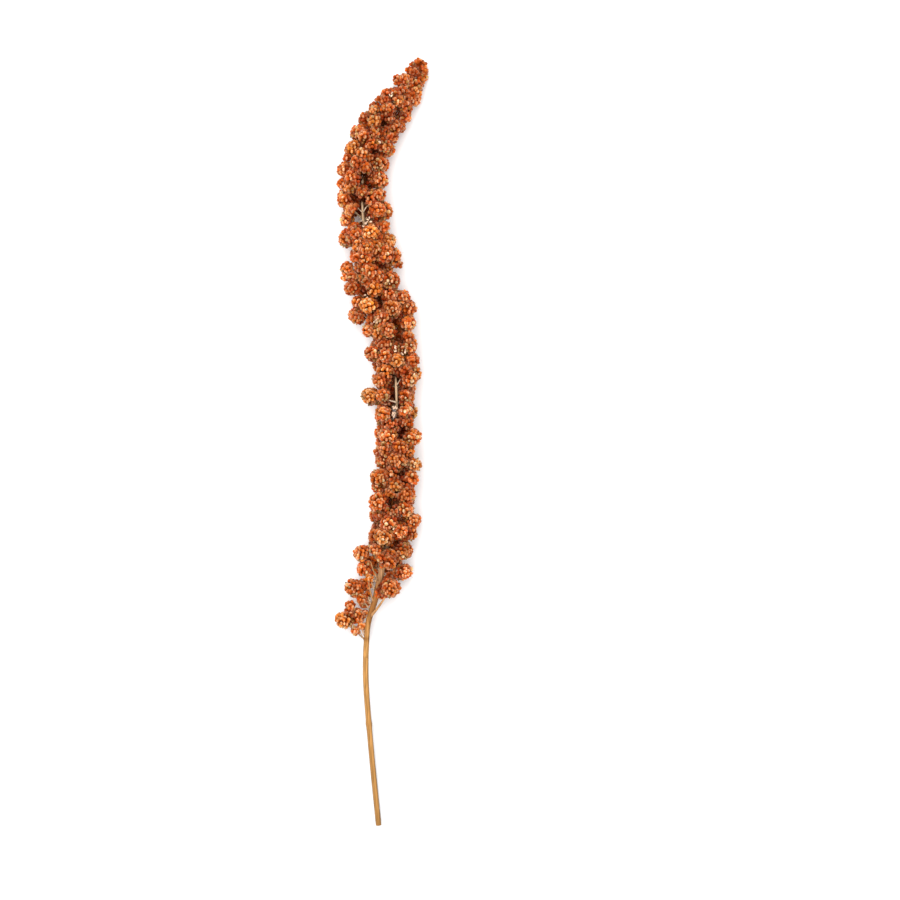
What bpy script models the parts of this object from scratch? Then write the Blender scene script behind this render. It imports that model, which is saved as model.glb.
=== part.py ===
"""A dried millet seed head on its cut stem, lying on a flat surface.

The head is a long nodding spike: round lumps of grain crowd round a thin rachis, loosely at the foot and
tightly at the tip. The stem is a bare straw. +Y runs from the cut end to the tip and +Z is up, away from
the surface that the head lies on. The origin is the middle of the outer box, on that surface.
"""

import math
import random

import bmesh
import bpy
from mathutils import Matrix, Vector

MM = 0.001

# The line through stem and head, from the cut end to the tip: x, y and height above the surface, in mm.
AXIS_POINTS = (
    (-1.1, -194.7, 1.8),
    (-4.6, -157.8, 4.6),
    (-7.1, -125.7, 7.5),
    (-7.3, -108.0, 9.0),
    (-6.5, -91.3, 10.4),
    (-3.8, -78.2, 11.2),
    (0.3, -60.1, 11.8),
    (4.5, -42.5, 12.0),
    (6.7, -25.0, 12.2),
    (8.0, -5.0, 12.5),
    (8.5, 15.0, 12.7),
    (7.5, 35.0, 12.8),
    (5.0, 50.0, 13.0),
    (1.0, 67.5, 13.1),
    (-3.5, 84.0, 12.8),
    (-7.0, 100.0, 12.4),
    (-8.8, 117.7, 11.8),
    (-8.6, 131.3, 11.3),
    (-5.6, 144.4, 10.8),
    (-1.4, 154.1, 10.3),
    (4.9, 164.8, 9.2),
    (11.9, 175.6, 7.7),
    (16.9, 184.1, 6.3),
    (19.6, 189.3, 5.4),
)
# The point of that drawing which becomes the origin.
ORIGIN = Vector((1.0, -1.1, 0.0))
SAMPLES_PER_SPAN = 24

# Bare straw below the lowest lump of grain, and the straw's radius at its two ends.
STEM_LENGTH = 86.0
STEM_RADIUS_AT_CUT = 1.45
STEM_RADIUS_AT_HEAD = 1.5
STEM_RINGS = 34
# A straw joint: a slight collar where a leaf once grew.
STEM_JOINT_AT = 52.0
STEM_JOINT_SWELL = 0.22
STEM_JOINT_WIDTH = 1.6
STEM_SIDES_RESOLUTION = 3
# Room between the stem's top and the rachis, which are separate solids.
FACE_GAP = 0.3

# Stations along the head, from its foot (0) to its tip (1), for the outer radius of the head.
HEAD_RADIUS = (
    (0.0, 12.5), (0.2, 13.4), (0.5, 14.2), (0.58, 14.8), (0.7, 14.0), (0.8, 12.8), (0.88, 11.2),
    (0.94, 8.8), (0.98, 6.2), (1.0, 5.0),
)
# The same for the radius of a lump of grain.
LUMP_RADIUS = ((0.0, 5.5), (0.6, 5.6), (0.75, 5.2), (0.85, 4.7), (0.95, 3.9), (1.0, 3.5))
# The same for the core that the lumps are rooted in: bare rachis at the foot and in the gaps, else thicker.
CORE_RADIUS = (
    (0.0, 1.5), (0.16, 1.6), (0.2, 4.6), (0.34, 6.0), (0.385, 2.4), (0.45, 2.4), (0.5, 6.2),
    (0.66, 6.2), (0.7, 2.6), (0.785, 2.6), (0.82, 6.0), (0.9, 5.4), (0.96, 4.0), (1.0, 2.6),
)
CORE_RINGS = 44
CORE_SIDES_RESOLUTION = 2

# The spiral of lumps: where it starts, how closely it packs, and how far a lump strays from its place.
SPIRAL_START = 56.0
GOLDEN_ANGLE = math.radians(137.508)
PACKING = 1.0
# Spiral lumps reach less far across the head than up and down, so that the lumps at the sides stand out.
ACROSS_SHARE = 0.78
ANGLE_STRAY = math.radians(14.0)
RADIUS_STRAY = 0.1
REACH_STRAY = 1.3
# Lumps lean towards the tip by this share of their reach.
LEAN = 0.45
SEED = 12
# A spiral lump is left out where another lump is nearer than this share of their two radii.
CROWDING = 0.57
# The front of the spiral, above this sine of its angle, lies this much lower: the measured lumps cover it.
FRONT_FROM = 0.15
FRONT_SINK = 2.0
# How much larger a measured lump of the front is than its bright middle in the photograph, along the head.
FRONT_FULLNESS = ((0.0, 1.3), (0.33, 1.26), (0.45, 1.15), (1.0, 1.15))
# The front is flatter than the rest by this share.
FRONT_FLATTENING = 0.95
# Hollows in the head's upper side, where the rachis or deep shadow shows: start and end up the head,
# offset across, and half width.
HOLLOWS = (
    (220.5, 231.0, 0.0, 1.5), (240.5, 244.0, 0.4, 1.2), (239.0, 239.5, 4.1, 0.9), (233.0, 234.0, -3.9, 1.2),
    (257.0, 258.0, 3.3, 1.0), (272.5, 273.0, 1.4, 0.9), (281.0, 281.5, 3.4, 0.7), (196.0, 196.5, 6.8, 1.2),
    (181.0, 182.0, -0.3, 1.2), (187.0, 187.5, -6.1, 0.9), (160.5, 170.0, 5.0, 0.8), (127.0, 141.5, 0.0, 1.5),
    (115.0, 115.5, 2.7, 1.2), (94.0, 94.5, 3.3, 1.2), (78.5, 81.0, -0.5, 1.3), (72.0, 72.5, 5.9, 0.8),
    (60.5, 61.0, 5.3, 0.9), (57.0, 57.5, 1.1, 0.8),
)
# Where light comes right through the head: the same four values.
HOLES = ((222.5, 225.0, -3.0, 1.6), (122.5, 126.5, -1.3, 1.4))

# Lumps that shape the outline: distance up the head, distance across it (+ is the +X side) and radius.
SIDE_LUMPS = (
    (60.5, -4.6, 5.5), (79.0, -5.6, 5.5), (91.5, -6.2, 5.5), (104.0, -7.9, 4.0), (122.0, -8.0, 4.2),
    (133.5, -13.3, 5.0), (141.5, -7.9, 4.8), (155.5, -8.7, 5.2), (168.5, -9.1, 4.2), (176.0, -13.1, 4.8),
    (183.5, -11.3, 4.0), (191.5, -12.2, 4.5), (201.0, -12.3, 4.2), (206.5, -5.7, 4.5), (215.0, -9.3, 5.2),
    (223.5, -8.8, 4.0), (234.0, -8.1, 5.5), (246.5, -9.5, 4.8), (256.0, -7.8, 5.0), (264.0, -7.8, 5.0),
    (271.0, -8.2, 4.5), (278.0, -7.2, 4.0), (284.5, -5.0, 4.0), (289.5, -4.1, 4.0), (298.5, -2.9, 4.0),
    (66.0, 8.1, 5.0), (77.0, 6.8, 5.0), (88.5, 6.1, 5.0), (100.0, 5.8, 5.0), (113.5, 5.7, 5.0),
    (125.0, 6.0, 5.0), (135.5, 4.9, 5.0), (143.0, 8.7, 5.0), (150.0, 8.1, 5.0), (156.5, 8.3, 5.5),
    (167.5, 10.7, 4.5), (174.5, 12.7, 4.8), (180.5, 9.2, 4.8), (190.0, 6.7, 5.2), (201.5, 11.6, 5.2),
    (210.0, 10.7, 4.8), (218.5, 8.4, 4.5), (227.0, 10.1, 5.2), (234.5, 7.4, 4.5), (243.5, 8.1, 4.8),
    (253.5, 7.5, 5.0), (262.0, 7.6, 5.0), (269.5, 6.9, 4.5), (276.5, 7.9, 4.0), (283.0, 7.5, 4.0),
    (293.0, 6.2, 4.5),
)
# Lumps that hang loosely at the foot: distance up the head, distance across, height above the line, radius.
LOOSE_LUMPS = (
    (17.5, -11.7, -1.0, 5.2), (20.0, -5.6, -3.0, 5.0), (26.5, -3.6, -6.0, 3.8), (33.5, -9.9, 0.0, 5.5),
    (36.0, -4.9, -4.0, 4.2), (44.0, -7.1, -2.5, 4.8), (51.0, -10.3, 0.0, 5.0), (37.5, 6.9, 0.5, 5.5),
    (46.0, 10.9, -2.0, 4.6), (58.5, 9.0, 0.0, 5.0), (53.0, 3.1, 5.5, 5.0), (48.0, 2.0, -7.0, 5.0),
    (54.0, 0.6, -5.0, 4.2), (59.0, 4.6, -3.0, 4.5), (55.5, -4.3, -3.5, 4.2), (51.0, 7.6, -4.0, 4.0),
    (47.5, -4.1, -4.0, 4.0), (24.0, -9.8, -1.0, 3.4),
)
# Lumps of the front, measured in the photograph: distance up the head, distance across, bright radius.
FRONT_LUMPS = (
    (309.0, 1.0, 2.8), (304.0, -0.4, 3.0), (305.0, 4.8, 2.5), (298.0, -2.6, 3.3), (298.5, 4.0, 3.5),
    (289.0, -1.7, 3.3), (292.5, 4.9, 3.3), (286.5, -6.3, 3.0), (286.5, 4.6, 3.3), (279.5, -0.5, 4.0),
    (276.0, -6.8, 3.0), (282.5, 7.7, 3.0), (271.0, -3.2, 3.7), (271.0, -9.3, 3.0), (274.5, 6.6, 3.7),
    (263.0, -4.0, 4.0), (269.0, 7.4, 3.5), (262.5, 7.0, 3.7), (256.0, -7.7, 4.2), (254.5, -2.4, 3.2),
    (252.5, 6.3, 4.2), (249.5, -3.8, 4.0), (243.0, -5.6, 3.5), (243.5, 8.8, 4.2), (238.0, -5.8, 3.5),
    (235.0, 0.8, 2.2), (234.0, 8.1, 4.0), (227.0, 7.7, 4.2), (225.5, 11.5, 3.5), (227.0, -4.6, 2.5),
    (215.5, 2.7, 4.5), (216.0, -4.2, 3.5), (217.5, 9.9, 3.2), (207.5, -0.1, 4.2), (203.0, 7.5, 4.7),
    (204.5, -6.3, 3.2), (196.0, -1.2, 4.2), (189.0, 7.1, 4.7), (192.0, -4.4, 3.0), (191.0, -12.0, 4.0),
    (180.0, -6.3, 4.5), (177.5, -13.4, 4.3), (175.5, 4.5, 5.0), (180.0, 11.5, 3.5), (165.5, 0.2, 4.2),
    (167.0, 10.6, 3.7), (167.5, -9.2, 3.5), (160.5, 9.2, 3.5), (155.5, 8.6, 3.5), (156.0, -9.5, 4.2),
    (153.5, -3.2, 3.7), (150.5, 1.8, 4.0), (149.5, 9.1, 3.7), (141.0, -7.2, 4.2), (141.0, 7.2, 4.2),
    (132.5, 4.3, 3.5), (133.5, -6.6, 3.7), (123.5, -6.3, 4.2), (126.0, 3.7, 4.2), (112.5, -4.1, 4.2),
    (107.5, 1.6, 4.0), (112.5, 7.8, 4.2), (101.0, 0.9, 4.5), (91.5, -6.5, 4.7), (92.5, 8.4, 3.7),
    (99.0, 9.9, 3.2), (88.0, 1.3, 3.5), (84.0, 6.1, 4.5), (79.0, -6.4, 4.7), (77.0, 6.8, 4.0),
    (62.0, -1.2, 4.5), (72.0, 11.5, 3.8), (66.5, 6.0, 4.0), (66.0, 11.2, 3.5), (57.5, 9.8, 4.5),
    (51.0, 4.3, 3.7), (47.0, 12.6, 3.8), (38.0, 7.7, 4.5), (309.5, -0.2, 3.0), (307.0, 3.4, 3.0),
    (301.5, 4.2, 3.2), (296.5, 5.4, 3.2), (292.0, 6.6, 3.2), (286.5, 6.4, 3.0), (296.5, 2.6, 3.2),
    (292.5, -0.4, 3.0), (286.5, 0.9, 3.2), (307.5, -3.1, 1.8), (303.5, -3.5, 2.1), (295.0, -4.9, 2.3),
    (282.5, -8.3, 2.3), (262.5, -10.4, 2.3), (251.5, -9.6, 2.3), (240.0, -10.3, 2.8), (197.0, 13.1, 2.5),
    (197.0, -14.2, 2.4), (86.5, -8.3, 2.6),
)
# A loose lump's stalk leaves the rachis this far below the lump.
STALK_CLIMB = 9.0
STALK_RADIUS = 0.75
STALK_SIDES = 6

# Relief of a lump: each of its 12 grain bumps stands this far above the valleys between them.
VALLEY_DEPTH = 0.15
# Share of the triangles kept after joining, since joins leave slivers.
TRIANGLES_KEPT = 0.5
# A lump may press this far into the surface, where it is flattened.
PRESS = 0.7

GRAIN_COLOUR = (0.52, 0.13, 0.03, 1.0)
STRAW_COLOUR = (0.62, 0.38, 0.16, 1.0)


def clear_scene():
    for old in list(bpy.data.objects):
        bpy.data.objects.remove(old, do_unlink=True)


def new_collection(name, parent=None):
    collection = bpy.data.collections.new(name)
    (parent or bpy.context.scene.collection).children.link(collection)
    return collection


def material(name, colour, roughness):
    made = bpy.data.materials.new(name)
    made.use_nodes = True
    shader = made.node_tree.nodes["Principled BSDF"]
    shader.inputs["Base Color"].default_value = colour
    shader.inputs["Roughness"].default_value = roughness
    shader.inputs["Metallic"].default_value = 0.0
    made.diffuse_color = colour
    return made


def along(stations, u):
    """The value at u of a table of (u, value) stations, eased between them."""
    for (u0, v0), (u1, v1) in zip(stations, stations[1:]):
        if u <= u1:
            t = max(0.0, (u - u0) / (u1 - u0))
            return v0 + (v1 - v0) * t * t * (3 - 2 * t)
    return stations[-1][1]


class Axis:
    """A smooth line through AXIS_POINTS, read by distance from the cut end, in mm."""

    def __init__(self):
        points = [Vector(p) - ORIGIN for p in AXIS_POINTS]
        ends = [2 * points[0] - points[1], *points, 2 * points[-1] - points[-2]]
        self.line = []
        for a, b, c, d in zip(ends, ends[1:], ends[2:], ends[3:]):
            for step in range(SAMPLES_PER_SPAN):
                t = step / SAMPLES_PER_SPAN
                self.line.append(0.5 * (2 * b + (c - a) * t + (2 * a - 5 * b + 4 * c - d) * t ** 2
                                        + (3 * b - 3 * c + d - a) * t ** 3))
        self.line.append(points[-1])
        self.distance = [0.0]
        for p, q in zip(self.line, self.line[1:]):
            self.distance.append(self.distance[-1] + (q - p).length)
        self.length = self.distance[-1]

    def at(self, s):
        """(point, tangent, side, up) at distance s. side points to +X and up away from the surface."""
        s = min(max(s, 0.0), self.length)
        i = next((k for k, d in enumerate(self.distance[1:]) if d >= s), len(self.line) - 2)
        p, q = self.line[i], self.line[i + 1]
        point = p.lerp(q, (s - self.distance[i]) / (self.distance[i + 1] - self.distance[i]))
        tangent = (q - p).normalized()
        side = tangent.cross(Vector((0, 0, 1))).normalized()
        return point, tangent, side, side.cross(tangent)


def lump(axis, s, across, above, radius):
    """A lump of grain as (centre, radius), at distance s up the head and kept off the surface."""
    point, _, side, up = axis.at(STEM_LENGTH + s)
    centre = point + side * across + up * above
    centre.z = max(centre.z, radius - PRESS)
    return centre, radius


def root_below(axis, s, climb):
    """The point of the rachis that far below distance s up the head."""
    return axis.at(STEM_LENGTH + max(s - climb, 1.5))[0]


def front_height(s, across, radius, head):
    """How far above the rachis a lump lies that just reaches the head's upper side."""
    outer = along(HEAD_RADIUS, s / head) * FRONT_FLATTENING
    return max(math.sqrt(max(outer ** 2 - across ** 2, 0.0)) - radius, 0.0)


def opens(s, across, room, openings):
    """Whether a place on the head is less than room outside one of the openings."""
    for start, end, middle, half_width in openings:
        off = math.hypot(max(start - s, s - end, 0.0), across - middle)
        if off < half_width + room:
            return True
    return False


def loose_lumps(axis):
    """(lump, its root on the rachis) for each lump that hangs loosely at the foot."""
    return [(lump(axis, *row), root_below(axis, row[0], STALK_CLIMB)) for row in LOOSE_LUMPS]


def packed_lumps(axis):
    """(lump, its root) for the outline's lumps, and for a golden-angle spiral that fills the rest."""
    draw = random.Random(SEED)
    head = axis.length - STEM_LENGTH
    found = []
    for s, across, radius in SIDE_LUMPS:
        above = draw.uniform(-REACH_STRAY, REACH_STRAY)
        found.append((lump(axis, s, across, above, radius), root_below(axis, s, LEAN * abs(across))))
    for s, across, bright_radius in FRONT_LUMPS:
        radius = along(FRONT_FULLNESS, s / head) * bright_radius
        above = front_height(s, across, radius, head) - draw.uniform(0, REACH_STRAY)
        root = root_below(axis, s, LEAN * math.hypot(across, above))
        found.append((lump(axis, s, across, above, radius), root))
    loose = loose_lumps(axis)
    s, angle = SPIRAL_START, 0.0
    while s < head:
        u = s / head
        radius = along(LUMP_RADIUS, u) * draw.uniform(1 - RADIUS_STRAY, 1 + RADIUS_STRAY)
        outer = along(HEAD_RADIUS, u)
        reach = max(outer - radius + draw.uniform(-REACH_STRAY, 0.6 * REACH_STRAY), 0.35 * radius)
        turn = angle + draw.uniform(-ANGLE_STRAY, ANGLE_STRAY)
        place = min(s + LEAN * reach, head)
        front = math.sin(turn) > FRONT_FROM
        reach -= FRONT_SINK * front
        across = ACROSS_SHARE * reach * math.cos(turn)
        made = lump(axis, place, across, reach * math.sin(turn), radius)
        crowded = (front and opens(place, across, 0.4 * radius, HOLLOWS)) or opens(place, across, 0.0, HOLES)
        for other, _ in found + loose:
            crowded = crowded or (made[0] - other[0]).length < CROWDING * (radius + other[1])
        if not crowded:
            found.append((made, root_below(axis, place, LEAN * reach)))
        s += PACKING * radius ** 2 / (2 * math.pi * (outer - 0.6 * radius))
        angle += GOLDEN_ANGLE
    found.append((lump(axis, head, 0.0, 0.0, along(LUMP_RADIUS, 1.0)), root_below(axis, head, 8.0)))
    return found


def linked(name, mesh, collection):
    made = bpy.data.objects.new(name, mesh)
    collection.objects.link(made)
    return made


def mesh_of(name, bm):
    mesh = bpy.data.meshes.new(name)
    bm.to_mesh(mesh)
    bm.free()
    return mesh


def bumpy_ball():
    """A unit ball with 12 grain bumps: an icosahedron's corners stand up, with valleys round each."""
    bm = bmesh.new()
    bmesh.ops.create_icosphere(bm, subdivisions=1, radius=1.0)
    ridges = list(bm.edges)
    valleys = bmesh.ops.poke(bm, faces=list(bm.faces))["verts"]
    for vert in valleys:
        vert.co = vert.co.normalized() * (1 - VALLEY_DEPTH)
    bmesh.ops.rotate_edges(bm, edges=ridges, use_ccw=False)
    bmesh.ops.recalc_face_normals(bm, faces=list(bm.faces))
    return mesh_of("bumpy_ball", bm)


def bumpy_dome():
    """The outer half of the bumpy ball, closed by a cone down to a point below it."""
    bm = bmesh.new()
    bm.from_mesh(bumpy_ball())
    inner = [vert for vert in bm.verts if vert.co.z < -0.3]
    bmesh.ops.delete(bm, geom=inner, context="VERTS")
    rim = [edge for edge in bm.edges if edge.is_boundary]
    root = bm.verts.new((0, 0, -1.5))
    for edge in rim:
        bm.faces.new((*edge.verts, root))
    bmesh.ops.recalc_face_normals(bm, faces=list(bm.faces))
    return mesh_of("bumpy_dome", bm)


def add_ball(ball, place, draw, collection):
    """One loose lump of grain: the bumpy ball, turned at random and set in place."""
    centre, radius = place
    turn = Matrix.Rotation(draw.uniform(0, 6.3), 4, "Z") @ Matrix.Rotation(draw.uniform(0, 3.1), 4, "X")
    mesh = ball.copy()
    mesh.transform(Matrix.Translation(centre * MM) @ turn @ Matrix.Scale(radius * MM, 4))
    return linked("lump", mesh, collection)


def add_dome(dome, place, root, draw, collection):
    """One packed lump of grain: the bumpy dome, facing away from its root, with its cone's point there."""
    centre, radius = place
    outward = (centre - root).to_track_quat("Z", "Y").to_matrix().to_4x4()
    turn = outward @ Matrix.Rotation(draw.uniform(0, 6.3), 4, "Z")
    mesh = dome.copy()
    point = min(mesh.vertices, key=lambda vert: vert.co.z)
    mesh.transform(Matrix.Translation(centre * MM) @ turn @ Matrix.Scale(radius * MM, 4))
    point.co = root * MM
    return linked("lump", mesh, collection)


def add_stalk(root, centre, collection):
    """A thin branch from the rachis to the middle of a lump."""
    bm = bmesh.new()
    run = centre - root
    bmesh.ops.create_cone(bm, cap_ends=True, segments=STALK_SIDES, radius1=STALK_RADIUS * MM,
                          radius2=STALK_RADIUS * MM, depth=run.length * MM)
    turn = run.to_track_quat("Z", "Y").to_matrix().to_4x4()
    bm.transform(Matrix.Translation((root + run / 2) * MM) @ turn)
    return linked("stalk", mesh_of("stalk", bm), collection)


def add_tube(name, axis, start, end, rings, radius_at, sides_resolution, collection):
    """A closed tube along the axis, with radius_at(s) at distance s, as a mesh object."""
    curve = bpy.data.curves.new(name, "CURVE")
    curve.dimensions = "3D"
    curve.bevel_depth = MM
    curve.bevel_resolution = sides_resolution
    curve.use_fill_caps = True
    spline = curve.splines.new("POLY")
    spline.points.add(rings)
    for i, point in enumerate(spline.points):
        s = start + (end - start) * i / rings
        point.co = (*(axis.at(s)[0] * MM), 1.0)
        point.radius = radius_at(s)
    source = linked(name + "_line", curve, collection)
    bpy.context.view_layer.update()
    evaluated = source.evaluated_get(bpy.context.evaluated_depsgraph_get())
    mesh = bpy.data.meshes.new_from_object(evaluated)
    bpy.data.objects.remove(source)
    bm = bmesh.new()
    bm.from_mesh(mesh)
    bmesh.ops.remove_doubles(bm, verts=list(bm.verts), dist=0.01 * MM)
    bmesh.ops.recalc_face_normals(bm, faces=list(bm.faces))
    bm.to_mesh(mesh)
    bm.free()
    mesh.name = name
    return linked(name, mesh, collection)


def apply_boolean(target, operation, cutter=None, others=None):
    """Joins or cuts target's own mesh by one object or by a whole collection."""
    step = target.modifiers.new("join", "BOOLEAN")
    step.operation = operation
    step.solver = "EXACT"
    if others:
        step.operand_type = "COLLECTION"
        step.collection = others
    else:
        step.object = cutter
    bpy.context.view_layer.update()
    evaluated = target.evaluated_get(bpy.context.evaluated_depsgraph_get())
    joined = bpy.data.meshes.new_from_object(evaluated)
    target.modifiers.remove(step)
    target.data = joined


def thin_out(target, share):
    """Keeps that share of the triangles: the slivers along the joins go first."""
    step = target.modifiers.new("thin_out", "DECIMATE")
    step.ratio = share
    bpy.context.view_layer.update()
    thinned = bpy.data.meshes.new_from_object(target.evaluated_get(bpy.context.evaluated_depsgraph_get()))
    target.modifiers.remove(step)
    target.data = thinned


def islands(bm):
    """The separate bodies of a mesh, each as a list of its vertices."""
    left = set(bm.verts)
    found = []
    while left:
        body, edge_of_search = [], [left.pop()]
        while edge_of_search:
            vert = edge_of_search.pop()
            body.append(vert)
            for edge in vert.link_edges:
                other = edge.other_vert(vert)
                if other in left:
                    left.remove(other)
                    edge_of_search.append(other)
        found.append(body)
    return found


def keep_outer_skin(target):
    """Fills the hollows that joining sealed and drops loose scraps: only the largest skin is kept."""
    bm = bmesh.new()
    bm.from_mesh(target.data)
    bodies = sorted(islands(bm), key=len)
    for body in bodies[:-1]:
        bmesh.ops.delete(bm, geom=body, context="VERTS")
    bmesh.ops.triangulate(bm, faces=list(bm.faces))
    bm.to_mesh(target.data)
    bm.free()


def stem(axis, collection):
    """The bare straw, from the cut end to the foot of the head."""
    def radius_at(s):
        straw = STEM_RADIUS_AT_CUT + (STEM_RADIUS_AT_HEAD - STEM_RADIUS_AT_CUT) * s / STEM_LENGTH
        return straw + STEM_JOINT_SWELL * math.exp(-((s - STEM_JOINT_AT) / STEM_JOINT_WIDTH) ** 2)

    top = STEM_LENGTH - FACE_GAP
    made = add_tube("stem", axis, 0.0, top, STEM_RINGS, radius_at, STEM_SIDES_RESOLUTION, collection)
    made.data.materials.clear()
    made.data.materials.append(material("straw", STRAW_COLOUR, 0.55))
    made.data.shade_smooth()
    return made


def seed_head(axis, collection):
    """The rachis with every lump of grain fused to it, as one closed body."""
    head = axis.length - STEM_LENGTH

    def radius_at(s):
        return along(CORE_RADIUS, (s - STEM_LENGTH) / head)

    made = add_tube("seed_head", axis, STEM_LENGTH, axis.length, CORE_RINGS, radius_at,
                    CORE_SIDES_RESOLUTION, collection)
    lumps = new_collection("lumps")
    dome, ball = bumpy_dome(), bumpy_ball()
    draw = random.Random(SEED)
    for place, root in packed_lumps(axis):
        add_dome(dome, place, root, draw, lumps)
    for place, root in loose_lumps(axis):
        add_ball(ball, place, draw, lumps)
        add_stalk(root, place[0], lumps)
    apply_boolean(made, "UNION", others=lumps)
    for piece in list(lumps.objects):
        bpy.data.objects.remove(piece)
    bpy.data.collections.remove(lumps)
    keep_outer_skin(made)
    thin_out(made, TRIANGLES_KEPT)
    made.data.materials.clear()
    made.data.materials.append(material("grain", GRAIN_COLOUR, 0.5))
    return made


def flatten_underside(target, cutters):
    """Cuts off what would reach below the surface, which leaves small flat spots to rest on."""
    depth = 20 * MM
    bpy.ops.mesh.primitive_cube_add(size=1.0, location=(0, 0, -depth / 2))
    slab = bpy.context.object
    slab.name = "surface_cutter"
    slab.scale = (0.2, 0.6, depth)
    bpy.ops.object.transform_apply(location=True, rotation=False, scale=True)
    for owner in list(slab.users_collection):
        owner.objects.unlink(slab)
    cutters.objects.link(slab)
    slab.hide_render = True
    slab.display_type = "WIRE"
    apply_boolean(target, "DIFFERENCE", cutter=slab)
    keep_outer_skin(target)


def main():
    clear_scene()
    millet = new_collection("millet_seed_head")
    cutters = new_collection("cutters")
    axis = Axis()
    stem(axis, millet)
    head = seed_head(axis, millet)
    flatten_underside(head, cutters)


main()
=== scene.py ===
"""The looks of a dried millet seed head, lying on a pale surface.

The solids give the place and radius of every tuft of grain. This script repeats their layout, with a few
more tufts under and between theirs, and covers each tuft with single husked grains, pale empty husks and
fine bristles, round a straw-coloured rachis with thin branchlets. The bare stem becomes a ribbed straw
with a cut end.
"""

import math
import random

import bmesh
import bpy
import numpy as np
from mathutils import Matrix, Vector


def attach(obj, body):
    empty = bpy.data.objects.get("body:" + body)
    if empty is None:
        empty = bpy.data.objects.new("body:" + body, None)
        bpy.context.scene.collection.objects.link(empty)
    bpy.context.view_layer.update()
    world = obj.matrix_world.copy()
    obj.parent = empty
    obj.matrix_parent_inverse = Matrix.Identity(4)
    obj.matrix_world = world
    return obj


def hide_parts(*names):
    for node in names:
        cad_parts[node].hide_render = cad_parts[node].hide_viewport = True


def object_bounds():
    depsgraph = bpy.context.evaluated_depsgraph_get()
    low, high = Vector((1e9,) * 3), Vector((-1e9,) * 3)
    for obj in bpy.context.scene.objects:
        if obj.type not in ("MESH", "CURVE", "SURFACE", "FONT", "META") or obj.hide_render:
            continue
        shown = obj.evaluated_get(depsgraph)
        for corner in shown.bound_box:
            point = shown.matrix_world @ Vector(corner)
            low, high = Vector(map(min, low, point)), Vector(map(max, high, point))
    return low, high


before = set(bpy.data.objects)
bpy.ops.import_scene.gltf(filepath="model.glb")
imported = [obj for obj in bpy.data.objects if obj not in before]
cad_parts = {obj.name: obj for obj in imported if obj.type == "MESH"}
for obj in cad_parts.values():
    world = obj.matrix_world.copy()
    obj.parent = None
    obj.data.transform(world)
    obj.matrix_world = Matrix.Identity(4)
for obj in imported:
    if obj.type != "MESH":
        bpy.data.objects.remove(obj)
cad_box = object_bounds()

MM = 0.001
# A direction with more than this of Z in it counts as steep.
STEEP = 0.9

# Layout shared with the solids, in mm

# The line through stem and head, from the cut end to the tip: x, y and height above the surface.
AXIS_POINTS = (
    (-1.1, -194.7, 1.8),
    (-4.6, -157.8, 4.6),
    (-7.1, -125.7, 7.5),
    (-7.3, -108.0, 9.0),
    (-6.5, -91.3, 10.4),
    (-3.8, -78.2, 11.2),
    (0.3, -60.1, 11.8),
    (4.5, -42.5, 12.0),
    (6.7, -25.0, 12.2),
    (8.0, -5.0, 12.5),
    (8.5, 15.0, 12.7),
    (7.5, 35.0, 12.8),
    (5.0, 50.0, 13.0),
    (1.0, 67.5, 13.1),
    (-3.5, 84.0, 12.8),
    (-7.0, 100.0, 12.4),
    (-8.8, 117.7, 11.8),
    (-8.6, 131.3, 11.3),
    (-5.6, 144.4, 10.8),
    (-1.4, 154.1, 10.3),
    (4.9, 164.8, 9.2),
    (11.9, 175.6, 7.7),
    (16.9, 184.1, 6.3),
    (19.6, 189.3, 5.4),
)
# The point of that drawing which becomes the origin.
ORIGIN = Vector((1.0, -1.1, 0.0))
SAMPLES_PER_SPAN = 24
# Bare straw below the lowest tuft of grain, and the straw's radius at its two ends.
STEM_LENGTH = 86.0
STEM_RADIUS_AT_CUT = 1.45
STEM_RADIUS_AT_HEAD = 1.5
# A straw joint: a slight collar where a leaf once grew.
STEM_JOINT_AT = 52.0
STEM_JOINT_SWELL = 0.22
STEM_JOINT_WIDTH = 1.6
# Stations along the head, from its foot (0) to its tip (1), for the outer radius of the head.
HEAD_RADIUS = (
    (0.0, 12.5), (0.2, 13.4), (0.5, 14.2), (0.58, 14.8), (0.7, 14.0), (0.8, 12.8), (0.88, 11.2),
    (0.94, 8.8), (0.98, 6.2), (1.0, 5.0),
)
# The same for the radius of a lump of grain.
LUMP_RADIUS = ((0.0, 5.5), (0.6, 5.6), (0.75, 5.2), (0.85, 4.7), (0.95, 3.9), (1.0, 3.5))
# The spiral of lumps: where it starts, its turn from one lump to the next, and how closely it packs.
SPIRAL_START = 56.0
GOLDEN_ANGLE = math.radians(137.508)
GOLDEN_RATIO = 1.618034
PACKING = 1.0
# How much of a lump's radius lies inside the shell that the spiral fills.
PACKED_DEPTH = 0.6
# The spiral reaches less far across the head than up and down, so that the lumps at the sides stand out.
ACROSS_SHARE = 0.78
# How far a lump strays from its place: in angle, in radius (a share), and in reach.
ANGLE_STRAY = math.radians(14.0)
RADIUS_STRAY = 0.1
REACH_STRAY = 1.3
# The share of that which it may stray outwards, and its least reach as a share of its radius.
OUTWARD_SHARE = 0.6
LEAST_REACH = 0.35
# Lumps lean towards the tip by this share of their reach.
LEAN = 0.45
SEED = 12
# A spiral lump is left out where another lump is nearer than this share of their two radii.
CROWDING = 0.57
# The front of the spiral, above this sine of its angle, may crowd more and lies this much lower.
FRONT_FROM = 0.15
FRONT_CROWDING = 0.42
FRONT_SINK = 2.0
# How far a lump there stays clear of a hollow, as a share of its radius.
HOLLOW_CLEARANCE = 0.4
# How much larger a lump of the front is than its bright middle, along the head.
FRONT_FULLNESS = ((0.0, 1.3), (0.33, 1.26), (0.45, 1.15), (1.0, 1.15))
# The front is flatter than the rest by this share.
FRONT_FLATTENING = 0.95
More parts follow.
